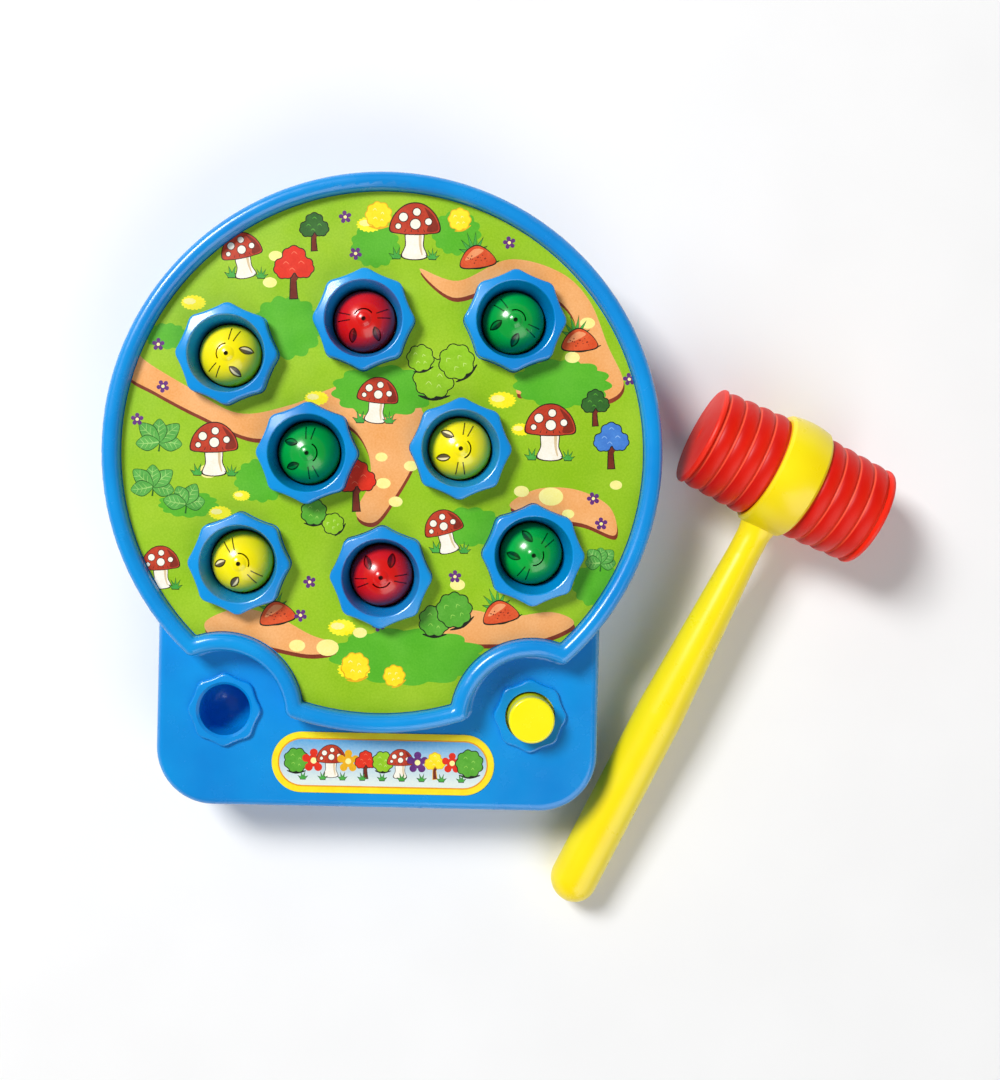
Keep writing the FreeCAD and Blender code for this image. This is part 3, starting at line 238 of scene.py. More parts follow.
def mole_head(name, spot, look, dark, light, ink, painted_eye_light, paint_and_shade_weight):
    """A mole, whose face looks towards an angle round its middle."""
    # polished ABS moulding: a small bright highlight on the dome; the engraved lines are dark
    # with wiped paint on yellow moles and with painted shade on red and green ones
    mat, tree, shader, at = surface(name, IOR=1.54, Coat_Weight=0.15, Coat_Roughness=0.1)
    centre = (spot[0] * MM, spot[1] * MM, MOLE_DOME_Z * MM)
    own = node(tree, VECTOR, [at, centre], operation="SUBTRACT")
    turn = math.radians(-look)
    own = node(tree, ROTATE, {"Vector": own, "Angle": turn}, rotation_type="Z_AXIS")
    reach = node(tree, VECTOR, [own], operation="LENGTH").outputs["Value"]
    x, y, z = node(tree, SPLIT, [own]).outputs
    above = node(tree, RANGE, [z, *metres(FACE_EDGE), 0.0, 1.0])
    flat = node(tree, "ShaderNodeCombineXYZ", [x, y])
    from_nose = node(tree, VECTOR, [flat], operation="LENGTH").outputs["Value"]
    skin_edge = [(MOLE_R - depth) * MM for depth in PAINT_AND_SHADE_DEPTH]
    sunk = node(tree, RANGE, [reach, *skin_edge, 1.0, 0.0])
    past_muzzle = node(tree, RANGE, [from_nose, *metres(MUZZLE_EDGE), 0.0, 1.0])
    groove = node(tree, MATH, [sunk, past_muzzle], operation="MULTIPLY")
    nose = node(tree, RANGE, [from_nose, *metres(NOSE_EDGE), 1.0, 0.0])
    paint_and_shade_marks = node(tree, MATH, [groove, nose], operation="MAXIMUM")
    pigment = node(tree, NOISE, {"Vector": at, "Scale": per_mm(14.0), "Detail": 3.0})
    body = node(tree, RAMP, [pigment], [(LOW, dark), (HIGH, light)])
    for side in (-1, 1):
        bearing, lean = math.radians(EYE_BEARING * side), math.radians(EYE_TURN * side)
        whole, inner = engraved_eye(tree, flat, bearing, lean)
        whole = node(tree, MATH, [whole, above], operation="MULTIPLY")
        # painted light: the eye tint is a pale painted highlight on yellow moles and painted shade
        # on red and green ones
        tint = node(tree, MATH, [whole, 0.9], operation="MULTIPLY")
        body = node(tree, MIX, [tint, body, linear(painted_eye_light)])
        # painted shade: the half of each eye nearer the middle of the face goes dark
        inner = node(tree, MATH, [whole, inner], operation="MULTIPLY")
        paint_and_shade_marks = node(tree, MATH, [paint_and_shade_marks, inner], operation="MAXIMUM")
    # dark lines: wiped paint in the engraved lines of yellow moles, painted shade in those of red
    # and green ones, and a dark nose dot
    paint_and_shade_marks = node(tree, MATH, [paint_and_shade_marks, above], operation="MULTIPLY", use_clamp=True)
    paint_and_shade_marks = node(tree, MATH, [paint_and_shade_marks, paint_and_shade_weight], operation="MULTIPLY")
    colour = node(tree, MIX, [paint_and_shade_marks, body, linear(ink)])
    gloss_and_grain(tree, shader, at, colour, rough=0.25, swing=0.04, grain_mm=1.4, bump=0.15)
    return mat


def pleated_sleeve(name, middle, along, start):
    """A sleeve: deep red, with a painted highlight at the folds and painted shade on each lobe."""
    # blow-moulded soft PE: a waxy half gloss, so the highlight on each pleat is broad and dull
    mat, tree, shader, at = surface(name, IOR=1.51, Specular_IOR_Level=0.25)
    own = node(tree, VECTOR, [at, middle], operation="SUBTRACT")
    place = node(tree, VECTOR, [own, along], operation="DOT_PRODUCT").outputs["Value"]
    past = node(tree, MATH, [place, start * MM], operation="SUBTRACT")
    turns = node(tree, MATH, [past, PLEAT_PITCH * MM], operation="DIVIDE")
    # ten whole pleats more keep it above zero, before its fraction is taken
    turns = node(tree, MATH, [turns, 10.0], operation="ADD")
    phase = node(tree, MATH, [turns], operation="FRACT")
    # painted light: a pale painted highlight at the folds, then painted shade on each lobe, darkest
    # just past the folds and lighter towards the next
    fold_highlight, shaded_root, crown, lit_flank = "FF5A3C", "D20E02", "E61A04", "F22A0C"
    stops = [
        (0.0, fold_highlight), (0.06, fold_highlight), (0.11, shaded_root), (0.5, crown), (0.93, lit_flank), (0.97, fold_highlight),
        (1.0, fold_highlight),
    ]
    pleat = node(tree, RAMP, [phase], stops)
    drift = node(tree, NOISE, {"Vector": at, "Scale": per_mm(18.0), "Detail": 3.0})
    shade = node(tree, RAMP, [drift], [(LOW, "F2EEEE"), (HIGH, "FFFFFF")])
    colour = node(tree, MIX, [1.0, pleat, shade], blend_type="MULTIPLY")
    gloss_and_grain(tree, shader, at, colour, rough=0.42, swing=0.06, grain_mm=0.9, bump=0.25)
    return mat


FINISHES = {
    # polished ABS moulding: deep gloss blue, with thin bright lines along the rolled rims
    "case_blue": lambda: moulded(
        "polished_abs_blue", "0086D8", "049AE6", rough=0.25, swing=0.05, grain_mm=1.6, bump=0.16,
        IOR=1.54, Coat_Weight=0.2, Coat_Roughness=0.09),
    # offset-printed and varnished card: a green cut edge with the print's half gloss
    "print_card": lambda: varnished_print("printed_card_green", "7FB01A", "9CC52A"),
    # printed vinyl label: an even yellow border with the print's half gloss
    "sticker": lambda: varnished_print("printed_vinyl_yellow", "F0C800", "FFE21A"),
    # ABS moulding: a smooth yellow cap with a soft gloss
    "button_yellow": lambda: moulded(
        "moulded_abs_yellow", "FFF200", "FFFA10", rough=0.24, swing=0.05, grain_mm=1.2, bump=0.2,
        IOR=1.54, Coat_Weight=0.15, Coat_Roughness=0.08),
    # blow-moulded PE: waxy, with shallow ripples that soften the highlight along the handle
    "handle_yellow": lambda: moulded(
        "blow_moulded_pe_yellow", "FFDE00", "FFEE06", rough=0.3, swing=0.04, grain_mm=5.0,
        bump=0.04, IOR=1.51, Coat_Weight=0.1, Coat_Roughness=0.15),
    # blow-moulded PE: the flat striking faces, scuffed to a half gloss
    "bellows_red": lambda: moulded(
        "blow_moulded_pe_red", "EA2208", "F62E12", rough=0.42, swing=0.05, grain_mm=2.5,
        bump=0.06, IOR=1.51, Specular_IOR_Level=0.4),
    # moulded acetal: milky white, satin gear teeth
    "gear_white": lambda: moulded(
        "moulded_acetal_white", "DCDAD0", "EFEEE6", rough=0.4, swing=0.06, grain_mm=1.0, bump=0.3,
        IOR=1.48),
    # spark-textured ABS: matt black; the 0.05 mm texture is drawn at 0.6 mm so that it shows
    "black_plastic": lambda: moulded(
        "textured_abs_black", "101010", "1C1C1C", rough=0.42, swing=0.06, grain_mm=0.6, bump=0.4,
        IOR=1.54),
    # turned bright steel: axles and screws with a soft shine
    "steel": lambda: drawn_steel("turned_bright_steel", "A9A9A6", "CFCFCB", rough=0.3),
    # nickel-plated wire: brighter and sharper than the axles
    "spring_steel": lambda: drawn_steel("plated_spring_wire", "B8B8B2", "DDDDD6", rough=0.2),
    # shrunk PVC: a tight glossy green jacket round each cell
    "cell_wrap": lambda: moulded(
        "shrunk_pvc_green", "1C5A2A", "2A7A3A", rough=0.24, swing=0.05, grain_mm=1.5, bump=0.2,
        IOR=1.53),
    # extruded PVC: the dull red covering of the leads
    "lead_sleeve": lambda: moulded(
        "extruded_pvc_red", "B01810", "C8241A", rough=0.35, swing=0.05, grain_mm=0.8, bump=0.3,
        IOR=1.53),
}
# Dark and light body colour; the dark of the engraved lines, wiped paint on yellow moles and
# painted shade on red and green ones; the eye tint, a painted highlight on yellow moles and
# painted shade on red and green ones; and how heavy the dark of the lines lies
MOLE_SHADES = {
    "yellow": ("FFE800", "FFF600", "3A2400", "FFEBB8", 0.9),
    "red": ("CC0A08", "E2140E", "3A0202", "900A06", 0.8),
    "green": ("009A36", "00AE3E", "01200C", "00702A", 0.8),
}


def middle_mm(low, high):
    """The middle of a box seen from above, in millimetres."""
    return (low.x + high.x) / 2 / MM, (low.y + high.y) / 2 / MM


def dress_nodes():
    """Gives each CAD node the finish of its slot, and each mole its own face."""
    made = {}
    for name, obj in NODES.items():
        if name in MOLES:
            low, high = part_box(name)
            shades = MOLE_SHADES[name.split("_")[1]]
            mat = mole_head("polished_abs_" + name, middle_mm(low, high), MOLES[name], *shades)
        else:
            slot = SLOT_OF[name]
            if slot not in made:
                made[slot] = FINISHES[slot]()
            mat = made[slot]
        obj.data.materials.clear()
        obj.data.materials.append(mat)


# Soft and wound pieces


def placed(name, data):
    """A new object in the scene with this mesh, lamp or camera."""
    obj = bpy.data.objects.new(name, data)
    bpy.context.scene.collection.objects.link(obj)
    return obj


def skin(name, verts, faces):
    """A new mesh object, from points in metres and faces."""
    mesh = bpy.data.meshes.new(name)
    mesh.from_pydata(verts, [], faces)
    return placed(name, mesh)


def turned(name, outline, middle, along):
    """A closed turned skin from (place along the axis, radius) points."""
    side = Vector((-along.y, along.x, 0))
    verts, faces = [], []
    for k in range(SLEEVE_SIDES):
        a = 2 * math.pi * k / SLEEVE_SIDES
        ray = side * math.cos(a) + Vector((0, 0, math.sin(a)))
        verts += [middle + along * (place * MM) + ray * (r * MM) for place, r in outline]
    n = len(outline)
    for k in range(SLEEVE_SIDES):
        near, far = k * n, (k + 1) % SLEEVE_SIDES * n
        for j in range(n):
            after = (j + 1) % n
            faces.append((near + j, near + after, far + after, far + j))
    obj = skin(name, verts, faces)
    obj.data.polygons.foreach_set("use_smooth", [True] * len(faces))
    obj.data.update()
    return obj


def sleeve_outline():
    """A sleeve's outside, then its inside: a neck in the band, and round pleats to the face."""
    outer = [(SLEEVE_NECK, SLEEVE_NECK_R), (SLEEVE_START - SLEEVE_NECK_GAP, SLEEVE_NECK_R)]
    for k in range(PLEATS):
        start = SLEEVE_START + k * PLEAT_PITCH
        for j in range(PLEAT_STEPS + 1):
            share = j / PLEAT_STEPS
            taper = PLEAT_TAPER * (1 - (k + share) / PLEATS)
            swell = (1 - abs(2 * share - 1) ** PLEAT_ROUND) ** (1 / PLEAT_ROUND)
            place = start + PLEAT_GROOVE / 2 + share * (PLEAT_PITCH - PLEAT_GROOVE)
            outer.append((place, PLEAT_ROOT_R + taper + (PLEAT_R - PLEAT_ROOT_R) * swell))
    outer.append((SLEEVE_END, PLEAT_ROOT_R))
    inner = [(place, r - SLEEVE_WALL) for place, r in outer]
    return outer + inner[::-1]


def sleeves():
    """The two pleated ends of the hammer's head."""
    left, right = [sum(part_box(n), Vector()) / 2 for n in ("face_left", "face_right")]
    middle, along = (left + right) / 2, (right - left).normalized()
    for word, way in (("left", -1), ("right", 1)):
        outline = [(way * place, r) for place, r in sleeve_outline()]
        obj = turned("pleated_sleeve_" + word, outline[::way], middle, along)
        mat = pleated_sleeve("blow_moulded_pe_pleats_" + word, middle, along, way * SLEEVE_START)
        obj.data.materials.append(mat)
        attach(obj, BODY_OF["bellows_" + word])
        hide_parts("bellows_" + word)
        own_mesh(obj)


def return_spring():
    """The coil under the button, a copy of the CAD spring that rides with its body."""
    obj = placed("button_coil", NODES["button_spring"].data.copy())
    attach(obj, BODY_OF["button_spring"])
    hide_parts("button_spring")
    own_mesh(obj)


# Outlines for flat print, in millimetres


def area(points):
    """The area inside a closed outline, negative where it runs clockwise."""
    return sum(a[0] * b[1] - a[1] * b[0] for a, b in zip(points, points[1:] + points[:1])) / 2


def loops_on_top(obj):
    """The closed outlines of a node's top face in metres, the largest first, and its height."""
    mesh = obj.data
    top = max(v.co.z for v in mesh.vertices)
    tolerance = 0.02 * MM
    key = {v.index: (round(v.co.x, 6), round(v.co.y, 6)) for v in mesh.vertices}
    ways = {}
    for face in mesh.polygons:
        ids = list(face.vertices)
        if all(abs(mesh.vertices[i].co.z - top) < tolerance for i in ids):
            for a, b in zip(ids, ids[1:] + ids[:1]):
                ways[(key[a], key[b])] = True
    step = {a: b for a, b in ways if (b, a) not in ways}
    loops = []
    while step:
        start, at = next(iter(step.items()))
        loop = [start]
        del step[start]
        while at != start:
            loop.append(at)
            at = step.pop(at)
        loops.append(loop)
    return sorted(loops, key=lambda p: -abs(area(p))), top


def smooth(points, closed=True, steps=7):
    """A smooth curve through points, closed or open."""
    n = len(points)
    curve = []
    for k in range(n if closed else n - 1):
        if closed:
            p = [points[(k + j) % n] for j in (-1, 0, 1, 2)]
        else:
            p = [points[min(max(k + j, 0), n - 1)] for j in (-1, 0, 1, 2)]
        for j in range(steps):
            t = j / steps
            curve.append(tuple(
                0.5 * (2 * b + (c - a) * t + (2 * a - 5 * b + 4 * c - d) * t * t
                       + (3 * b - a - 3 * c + d) * t**3)
                for a, b, c, d in zip(*p)
            ))
    return curve if closed else curve + [points[-1]]


def lobed(x, y, r, lobes=0, depth=0.0, turn=0.0, tall=1.0, steps=44):
    """A round or cloud-like outline."""
    points = []
    for k in range(steps):
        a = 2 * math.pi * k / steps
        reach = r * (1 - depth + depth * abs(math.sin(lobes * a / 2))) if lobes else r
        b = a + math.radians(turn)
        points.append((x + reach * math.cos(b), y + tall * reach * math.sin(b)))
    return points


def stroke(points, widths, steps=6):
    """A line along a smooth open curve; its widths are those at both ends, or middle as well."""
    line = smooth(points, closed=False, steps=steps)
    left, right = [], []
    for k, (x, y) in enumerate(line):
        a, b = line[max(k - 1, 0)], line[min(k + 1, len(line) - 1)]
        run = math.hypot(b[0] - a[0], b[1] - a[1]) or 1.0
        t = k / (len(line) - 1)
        if len(widths) == 2:
            w = (widths[0] * (1 - t) + widths[1] * t) / 2
        else:
            w = (widths[0] * (1 - t) ** 2 + 2 * widths[1] * t * (1 - t) + widths[2] * t * t) / 2
        left.append((x - (b[1] - a[1]) / run * w, y + (b[0] - a[0]) / run * w))
        right.append((x + (b[1] - a[1]) / run * w, y - (b[0] - a[0]) / run * w))
    return left + right[::-1]


def bar(x, y, long, wide):
    """A bar with round ends."""
    r, straight, steps = wide / 2, (long - wide) / 2, 16
    points = []
    for side, start in ((1, -90), (-1, 90)):
        for k in range(steps + 1):
            a = math.radians(start + 180 * k / steps)
            points.append((x + side * straight + r * math.cos(a), y + r * math.sin(a)))
    return points


def moved(shapes, x, y, size=1.0, turn=0.0):
    """Shapes turned and scaled about the origin, then moved to a place."""
    c, s = math.cos(math.radians(turn)) * size, math.sin(math.radians(turn)) * size
    return [
        (ink, [(x + c * p - s * q, y + s * p + c * q) for p, q in points])
        for ink, points in shapes
    ]


# Motifs of the print: (ink, outline) pairs round the origin, each over the ones before it


def toadstool():
    """A toadstool about 18 mm tall, its foot at the origin."""
    cap = smooth([
        (-8.2, 9.2), (-6.8, 14.2), (-2.6, 17.8), (2.6, 17.9), (6.9, 14.3), (8.3, 9.3), (4.5, 8.2),
        (0, 7.9), (-4.5, 8.1),
    ])
    cap_line = [(p * 1.055, 12.6 + (q - 12.6) * 1.07) for p, q in cap]
    cap_shade = smooth([(8.0, 9.5), (6.6, 13.8), (3.2, 16.9), (5.0, 12.8), (4.2, 8.9)])
    stem = smooth([
        (-2.6, 8.6), (-2.9, 4), (-4.0, 0.4), (0, -0.6), (4.0, 0.4), (2.9, 4), (2.6, 8.6),
    ])
    stem_line = [(p * 1.12, 4 + (q - 4) * 1.08) for p, q in stem]
    stem_shade = stroke([(1.9, 7.8), (2.0, 4), (2.7, 0.8)], (1.0, 1.0, 0.3))
    shapes = [
        ("line", stem_line), ("cream", stem), ("shade", stem_shade),
        ("line", cap_line), ("rust", cap), ("rust_dark", cap_shade),
    ]
    dots = (
        (-3.9, 13.6, 1.45), (0.6, 15.4, 1.25), (0.2, 11.3, 1.7), (4.6, 12.2, 1.1),
        (-5.6, 10.5, 0.9),
    )
    for x, y, r in dots:
        shapes.append(("line", lobed(x, y, r + 0.28, steps=20)))
        shapes.append(("cream", lobed(x, y, r, steps=20)))
    for x in (-3.4, -1.2, 1.2, 3.4):
        shapes.append(("line", stroke([(x, 8.6), (x * 0.86, 9.6)], (0.3, 0.1))))
    return shapes


def bush(inks, lobes, r):
    """A round bush with a lobed edge, a shadow at its foot and light arcs on it."""
    outline, fill, light = inks
    depth = 0.14
    foot = [(-0.75 * r, -0.86 * r), (0, -1.02 * r), (0.8 * r, -0.84 * r)]
    shapes = [
        (outline, stroke(foot, (0.3, 0.3 * r, 0.3))),
        (outline, lobed(0, 0, r + 0.38, lobes, depth * 0.9)),
        (fill, lobed(0, 0, r, lobes, depth)),
    ]
    arcs = ((-0.3, 0.38, 0.3), (0.28, 0.1, 0.26), (-0.25, -0.28, 0.3), (0.25, -0.42, 0.22))
    for x, y, w in arcs:
        ends_y = r * (y - 0.05)
        arc = [(r * (x - w / 2), ends_y), (r * x, r * (y + 0.1)), (r * (x + w / 2), ends_y)]
        shapes.append((light, stroke(arc, (0.1, 0.5, 0.1))))
    return shapes


def tree(inks, r):
    """A tree with a forked trunk below a crown of three puffs of leaves."""
    outline, fill, light = inks
    rise, widths = [(-0.1, -0.9 * r), (0, 0)], (0.42 * r, 0.26 * r, 0.2 * r)
    shapes = [
        (outline, stroke([(0.2, -1.86 * r)] + rise, [w + 0.7 for w in widths])),
        ("bark", stroke([(0.2, -1.8 * r)] + rise, widths)),
        ("bark", stroke([(0, -0.9 * r), (0.3 * r, -0.45 * r), (0.5 * r, 0)], (0.2 * r, 0.1 * r))),
    ]
    for ink, more, depth in ((outline, 0.36, 0.12), (fill, 0.0, 0.13)):
        for x, y, s in ((-0.5, -0.1, 0.62), (0.52, -0.05, 0.6), (0, 0.42, 0.72)):
            shapes.append((ink, lobed(x * r, y * r, s * r + more, 7, depth, 15)))
    for x, y in ((-0.45, 0.15), (0.4, 0.2), (0.0, 0.72), (-0.1, -0.2)):
        arc = [
            (r * (x - 0.16), r * (y - 0.04)), (r * x, r * (y + 0.09)),
            (r * (x + 0.18), r * (y - 0.05)),
        ]
        shapes.append((light, stroke(arc, (0.1, 0.45, 0.1))))
    return shapes


def leaf(long):
    """A pointed leaf with veins, its stalk end at the origin."""
    wide = 5.0
    blade = smooth([
        (0, 0), (0.28 * long, wide * 0.42), (0.62 * long, wide * 0.5), (long, 0),
        (0.62 * long, -wide * 0.5), (0.28 * long, -wide * 0.42),
    ])
    rib = stroke([(0.1, 0), (0.5 * long, 0.25), (0.93 * long, 0)], (0.5, 0.35, 0.1))
    shapes = [
        ("leaf_line", [(p * 1.05 - 0.2, q * 1.13) for p, q in blade]),
        ("leaf", blade),
        ("leaf_vein", rib),
    ]
    for share in (0.26, 0.46, 0.66):
        for side in (-1, 1):
            tip = ((share + 0.17) * long, side * wide * 0.36)
            shapes.append(("leaf_vein", stroke([(share * long, 0.1), tip], (0.3, 0.1), 3)))
    return shapes


def leaf_plant(count, spread, long):
    """A fan of leaves on a short stalk, every second one a little longer."""
    shapes = [("leaf_line", stroke([(0, -3.4), (0.2, -1.2), (0, 0)], (0.7, 0.5, 0.3)))]
    for k in range(count):
        turn = 90 - spread / 2 + spread * k / (count - 1)
        shapes += moved(leaf(long * (0.86 + 0.14 * (k % 2))), 0, 0, 1.0, turn)
    return shapes


def tuft(spikes=6, tall=8.0, line=0.36):
    """A crown of pointed blades with a dark edge, its foot at the origin."""
    shapes = []
    for ink, more in (("outline", line), ("blade", 0.0)):
        crown = [(-0.3 * tall - more, -more)]
        for k in range(2 * spikes + 1):
            a = math.radians(172 - 164 * k / (2 * spikes))
            if k % 2:
                reach = tall * (0.72 + 0.3 * math.sin(a)) + more * 2.4
            else:
                reach = 0.42 * tall + more
            crown.append((reach * math.cos(a) * 0.8, reach * math.sin(a)))
        crown.append((0.3 * tall + more, -more))
        shapes.append((ink, crown))
    return shapes


def stone():
    """A rounded lump with a lit top, a stippled side and its shadow."""
    wide, tall = 13.0, 7.0
    body = smooth([
        (-wide / 2, 0), (-wide * 0.33, tall * 0.7), (0.02 * wide, tall),
        (wide * 0.36, tall * 0.6), (wide / 2, 0), (0, -tall * 0.16),
    ])
    line = [(p * 1.06, tall * 0.45 + (q - tall * 0.45) * 1.12) for p, q in body]
    foot = [(-0.5 * wide, -0.02 * tall), (0.05 * wide, -0.2 * tall), (0.62 * wide, 0.06 * tall)]
    lit = smooth([
        (-wide * 0.36, tall * 0.3), (-wide * 0.2, tall * 0.68), (0.0, tall * 0.86),
        (0.2 * wide, tall * 0.7), (-0.1 * wide, tall * 0.4),
    ])
    shapes = [
        ("outline", stroke(foot, (0.4, 1.5, 0.3))), ("outline", line), ("clay", body),
        ("clay_light", lit),
    ]
    dice = random.Random(3)
    for _ in range(16):
        x, y = dice.uniform(-0.3, 0.34) * wide, dice.uniform(0.08, 0.5) * tall
        shapes.append(("rust_dark", lobed(x, y, dice.uniform(0.16, 0.3), steps=8)))
    return shapes


def posy(ink="violet", r=1.0):
    """A flower with five petals."""
    shapes = []
    for k in range(5):
        a = math.radians(72 * k + 18)
        x, y = r * 1.55 * math.cos(a), r * 1.55 * math.sin(a)
        shapes.append((ink, lobed(x, y, r * 0.78, steps=14)))
    shapes.append((ink, lobed(0, 0, r * 1.2, steps=16)))
    return shapes + [("butter", lobed(0, 0, r * 0.6, steps=12))]


def path(points):
    """A sandy path with a dark edge along its near side."""
    edge = 1.5
    top = smooth(points, steps=9)
    return [("soil", [(x + 0.25 * edge, y - edge) for x, y in top]), ("tan", top)]


# Outline, fill and light ink of the bushes and trees
GREENS = ("outline", "bush", "bush_light")
LIMES = ("outline", "lime", "lime_light")
REDS = ("outline", "tree_red", "tree_red_light")
DARKS = ("outline", "pine", "bush")
BLUES = ("outline", "sky_blue", "pale_blue")
SUNS = ("amber", "sun", "butter")

# The picture on the play face, from the middle of the card
PATHS = (
    ((-92, 36), (-84, 30), (-70, 22), (-52, 13), (-34, 16), (-20, 22), (-6, 27), (8, 23), (15, 12),
     (12, -2), (6, -14), (-2, -25), (-9, -22), (-4, -10), (-6, 2), (-14, 10), (-28, 8), (-46, 4),
     (-66, 12), (-82, 20), (-92, 26)),
    ((12, 66), (26, 62), (44, 70), (62, 66), (73, 56), (80, 40), (86, 26), (78, 20), (62, 24),
     (48, 22), (52, 30), (66, 34), (68, 48), (58, 58), (40, 60), (24, 56)),
    ((-62, -62), (-50, -57), (-36, -60), (-24, -66), (-12, -70), (-24, -73), (-42, -70),
     (-58, -68)),
    ((20, -62), (32, -56), (46, -58), (62, -56), (70, -60), (58, -66), (40, -68), (26, -67)),
    ((82, -18), (70, -12), (56, -12), (46, -18), (56, -22), (72, -24), (84, -28)),
)
# x, y, radius, and height as a share of the width
MOSS = (
    (-35, 44, 13, 0.9), (-4, 74, 9, 0.9), (25, 79, 9, 0.9), (0, 22, 19, 0.5), (64, 26, 18, 0.5),
    (11, -73, 29, 0.36), (32, -26, 13, 0.55), (-69, -20, 11, 0.45), (-43, -11, 10, 0.8),
    (-78, 40, 8, 0.6), (78, -46, 9, 0.9),
)
# x, y, radius
SPLASHES = (
    (-6.3, 81.5, 4.7), (-68.7, 52.2, 4.6), (42.6, 19.6, 5.1), (-8.5, -78.2, 6.0),
    (-57.6, -22.9, 4.2), (-13.1, -63.1, 5.1), (-23.9, 18.9, 4.4), (-50.1, -16.6, 3.2),
    (49.7, 9.2, 3.8),
)
PEBBLES = (
    (-18.1, -70.4, 4.0), (-6.6, -64.8, 2.5), (5.2, -17.6, 2.5), (50.2, -13.0, 2.7),
    (60.8, -14.6, 4.4), (67.1, -20.7, 2.2), (28.0, -46.9, 2.7), (-0.2, -1.7, 2.2),
    (0.7, -11.1, 2.6), (10.4, -4.7, 2.5), (72.6, 47.8, 2.7), (67.4, 35.4, 2.7),
    (-39.6, 69.5, 2.5), (-41.5, 60.0, 2.5), (-29.0, -69.9, 2.9), (-62, -8, 3.4), (30, 12, 2.4),
    (-12, 48, 2.2), (36, 52, 2.6), (84, -10, 2.2),
)
# inks, radius, x, y
TREES = (
    (DARKS, 4.6, -26, 80), (REDS, 6.4, -33, 66), (REDS, 6.2, -9, -10), (BLUES, 5.6, 82, 6),
    (DARKS, 4.4, 76, 19),
)
# inks, lobes, radius, x, y, size, turn
BUSHES = (
    (LIMES, 9, 7.4, 18, 27, 1.0, 0), (LIMES, 8, 6.4, 26, 33, 1.0, 40),
    (LIMES, 8, 4.8, 13, 34, 1.0, 15), (GREENS, 8, 5.6, 20, -60, 1.0, 0),
    (GREENS, 9, 6.4, 27, -56, 1.0, 30), (GREENS, 8, 4.6, -24, -22, 1.0, 0),
    (LIMES, 7, 3.8, -17, -26, 1.0, 50), (SUNS, 9, 5.2, -3, 85, 0.9, 0),
    (SUNS, 8, 4.4, 26, 84, 0.9, 20), (SUNS, 9, 5.0, -8, -77, 1.0, 10),
    (SUNS, 8, 4.2, 6, -80, 0.9, 30),
)
# leaves, spread, length, x, y, size
LEAF_PLANTS = (
    (5, 190, 9.5, -80, 2, 1.0), (5, 200, 9.0, -82, -14, 1.0), (4, 160, 8.0, -70, -20, 1.0),
    (5, 180, 7.0, 79, -38, 0.9),
)
# x, y, turn
STONES = ((33, 69, 8), (-36, -60, 12), (44, -58, 12), (70, 40, 4))
# x, y, size, turn
TOADSTOOLS = (
    (-50, 62, 0.86, 12), (10, 70, 1.06, 0), (-60, -9, 1.0, 2), (-3, 11, 0.86, -6),
    (60, -1, 1.06, 0), (25, -35, 0.82, 16), (-78, -50, 0.8, 4),
)
# x, y, turn
POSIES = (
    (-15, 84, 10), (-11, 71, 40), (-81, 37, 0), (-79, 22, 30), (76, -15, 20), (79, -24, 5),
    (-25, -47, 15), (-28, -59, 35), (27, -44, 0), (0, -62, 25), (44, 76, 12), (-66, 72, 30),
    (88, 28, 10), (-88, 10, 0), (36, -77, 20), (-48, -78, 8),
)


def meadow():
    """The picture on the play face: a meadow with paths, bushes, trees and toadstools."""
    dice = random.Random(7)
    art = []
    for points in PATHS:
        art += path(points)
    for x, y, r, tall in MOSS:
        art.append(("moss", lobed(x, y, r, lobes=13, depth=0.13, turn=10, tall=tall, steps=90)))
    for x, y, r in SPLASHES:
        splash = lobed(x, y, r, lobes=17, depth=0.16, turn=14 * r, tall=0.6, steps=90)
        light = lobed(
            x - 0.3 * r, y + 0.1 * r, 0.5 * r, lobes=9, depth=0.14, tall=0.5, steps=40
        )
        art += [("splash", splash), ("pebble", light)]
    for x, y, r in PEBBLES:
        art.append(("pebble", lobed(x, y, r, turn=dice.uniform(-8, 8), tall=0.74, steps=30)))
    for inks, r, x, y in TREES:
        art += moved(tree(inks, r), x, y)
    for inks, lobes, r, x, y, size, turn in BUSHES:
        art += moved(bush(inks, lobes, r), x, y, size, turn)
    for count, spread, long, x, y, size in LEAF_PLANTS:
        art += moved(leaf_plant(count, spread, long), x, y, size)
    for x, y, turn in STONES:
        art += moved(tuft(), x - 1.5, y + 2.5, 0.95, turn)
        art += moved(stone(), x, y - 1, 0.95, turn)
    for x, y, size, turn in TOADSTOOLS:
        art += moved(tuft(4, 4.4, 0.3), x - 6.0 * size, y - 0.5, 0.9)
        art += moved(toadstool(), x, y, size, turn)
        art += moved(tuft(5, 4.0, 0.3), x + 6.2 * size, y - 0.5, 0.9)
    for x, y, turn in POSIES:
        art += moved(posy(), x, y, 1.0, turn)
    return art


def plate_picture(x, y):
    """The nameplate: a row of bushes, flowers, trees and toadstools in front of a pale sky."""
    art = [("plate_line", bar(x, y, 76.5, 17.7)), ("plate_sky", bar(x, y, 75.5, 16.7))]
    middle, foot = y + 0.6, y - 5.0
    row = (
        (bush(GREENS, 8, 5.2), middle, 0.86),
        (posy("tree_red", 1.5), middle, 1.25),
        (toadstool(), foot, 0.62),
        (posy("amber", 1.5), middle, 1.2),
        (tree(REDS, 4.4), middle, 0.78),
        (bush(LIMES, 8, 4.4), middle, 0.86),
        (toadstool(), foot, 0.56),
        (posy("violet", 1.5), middle, 1.15),
        (tree(SUNS, 4.2), middle, 0.78),
        (posy("tree_red", 1.5), middle, 1.1),
        (bush(GREENS, 9, 5.4), middle, 0.92),
    )
    for k, (shapes, level, size) in enumerate(row):
        art += moved(shapes, x - 31.5 + 6.3 * k, level, size)
    for k in range(9):
        art += moved(tuft(4, 2.6, 0.22), x - 29 + 7.2 * k, y - 6.2)
    return art


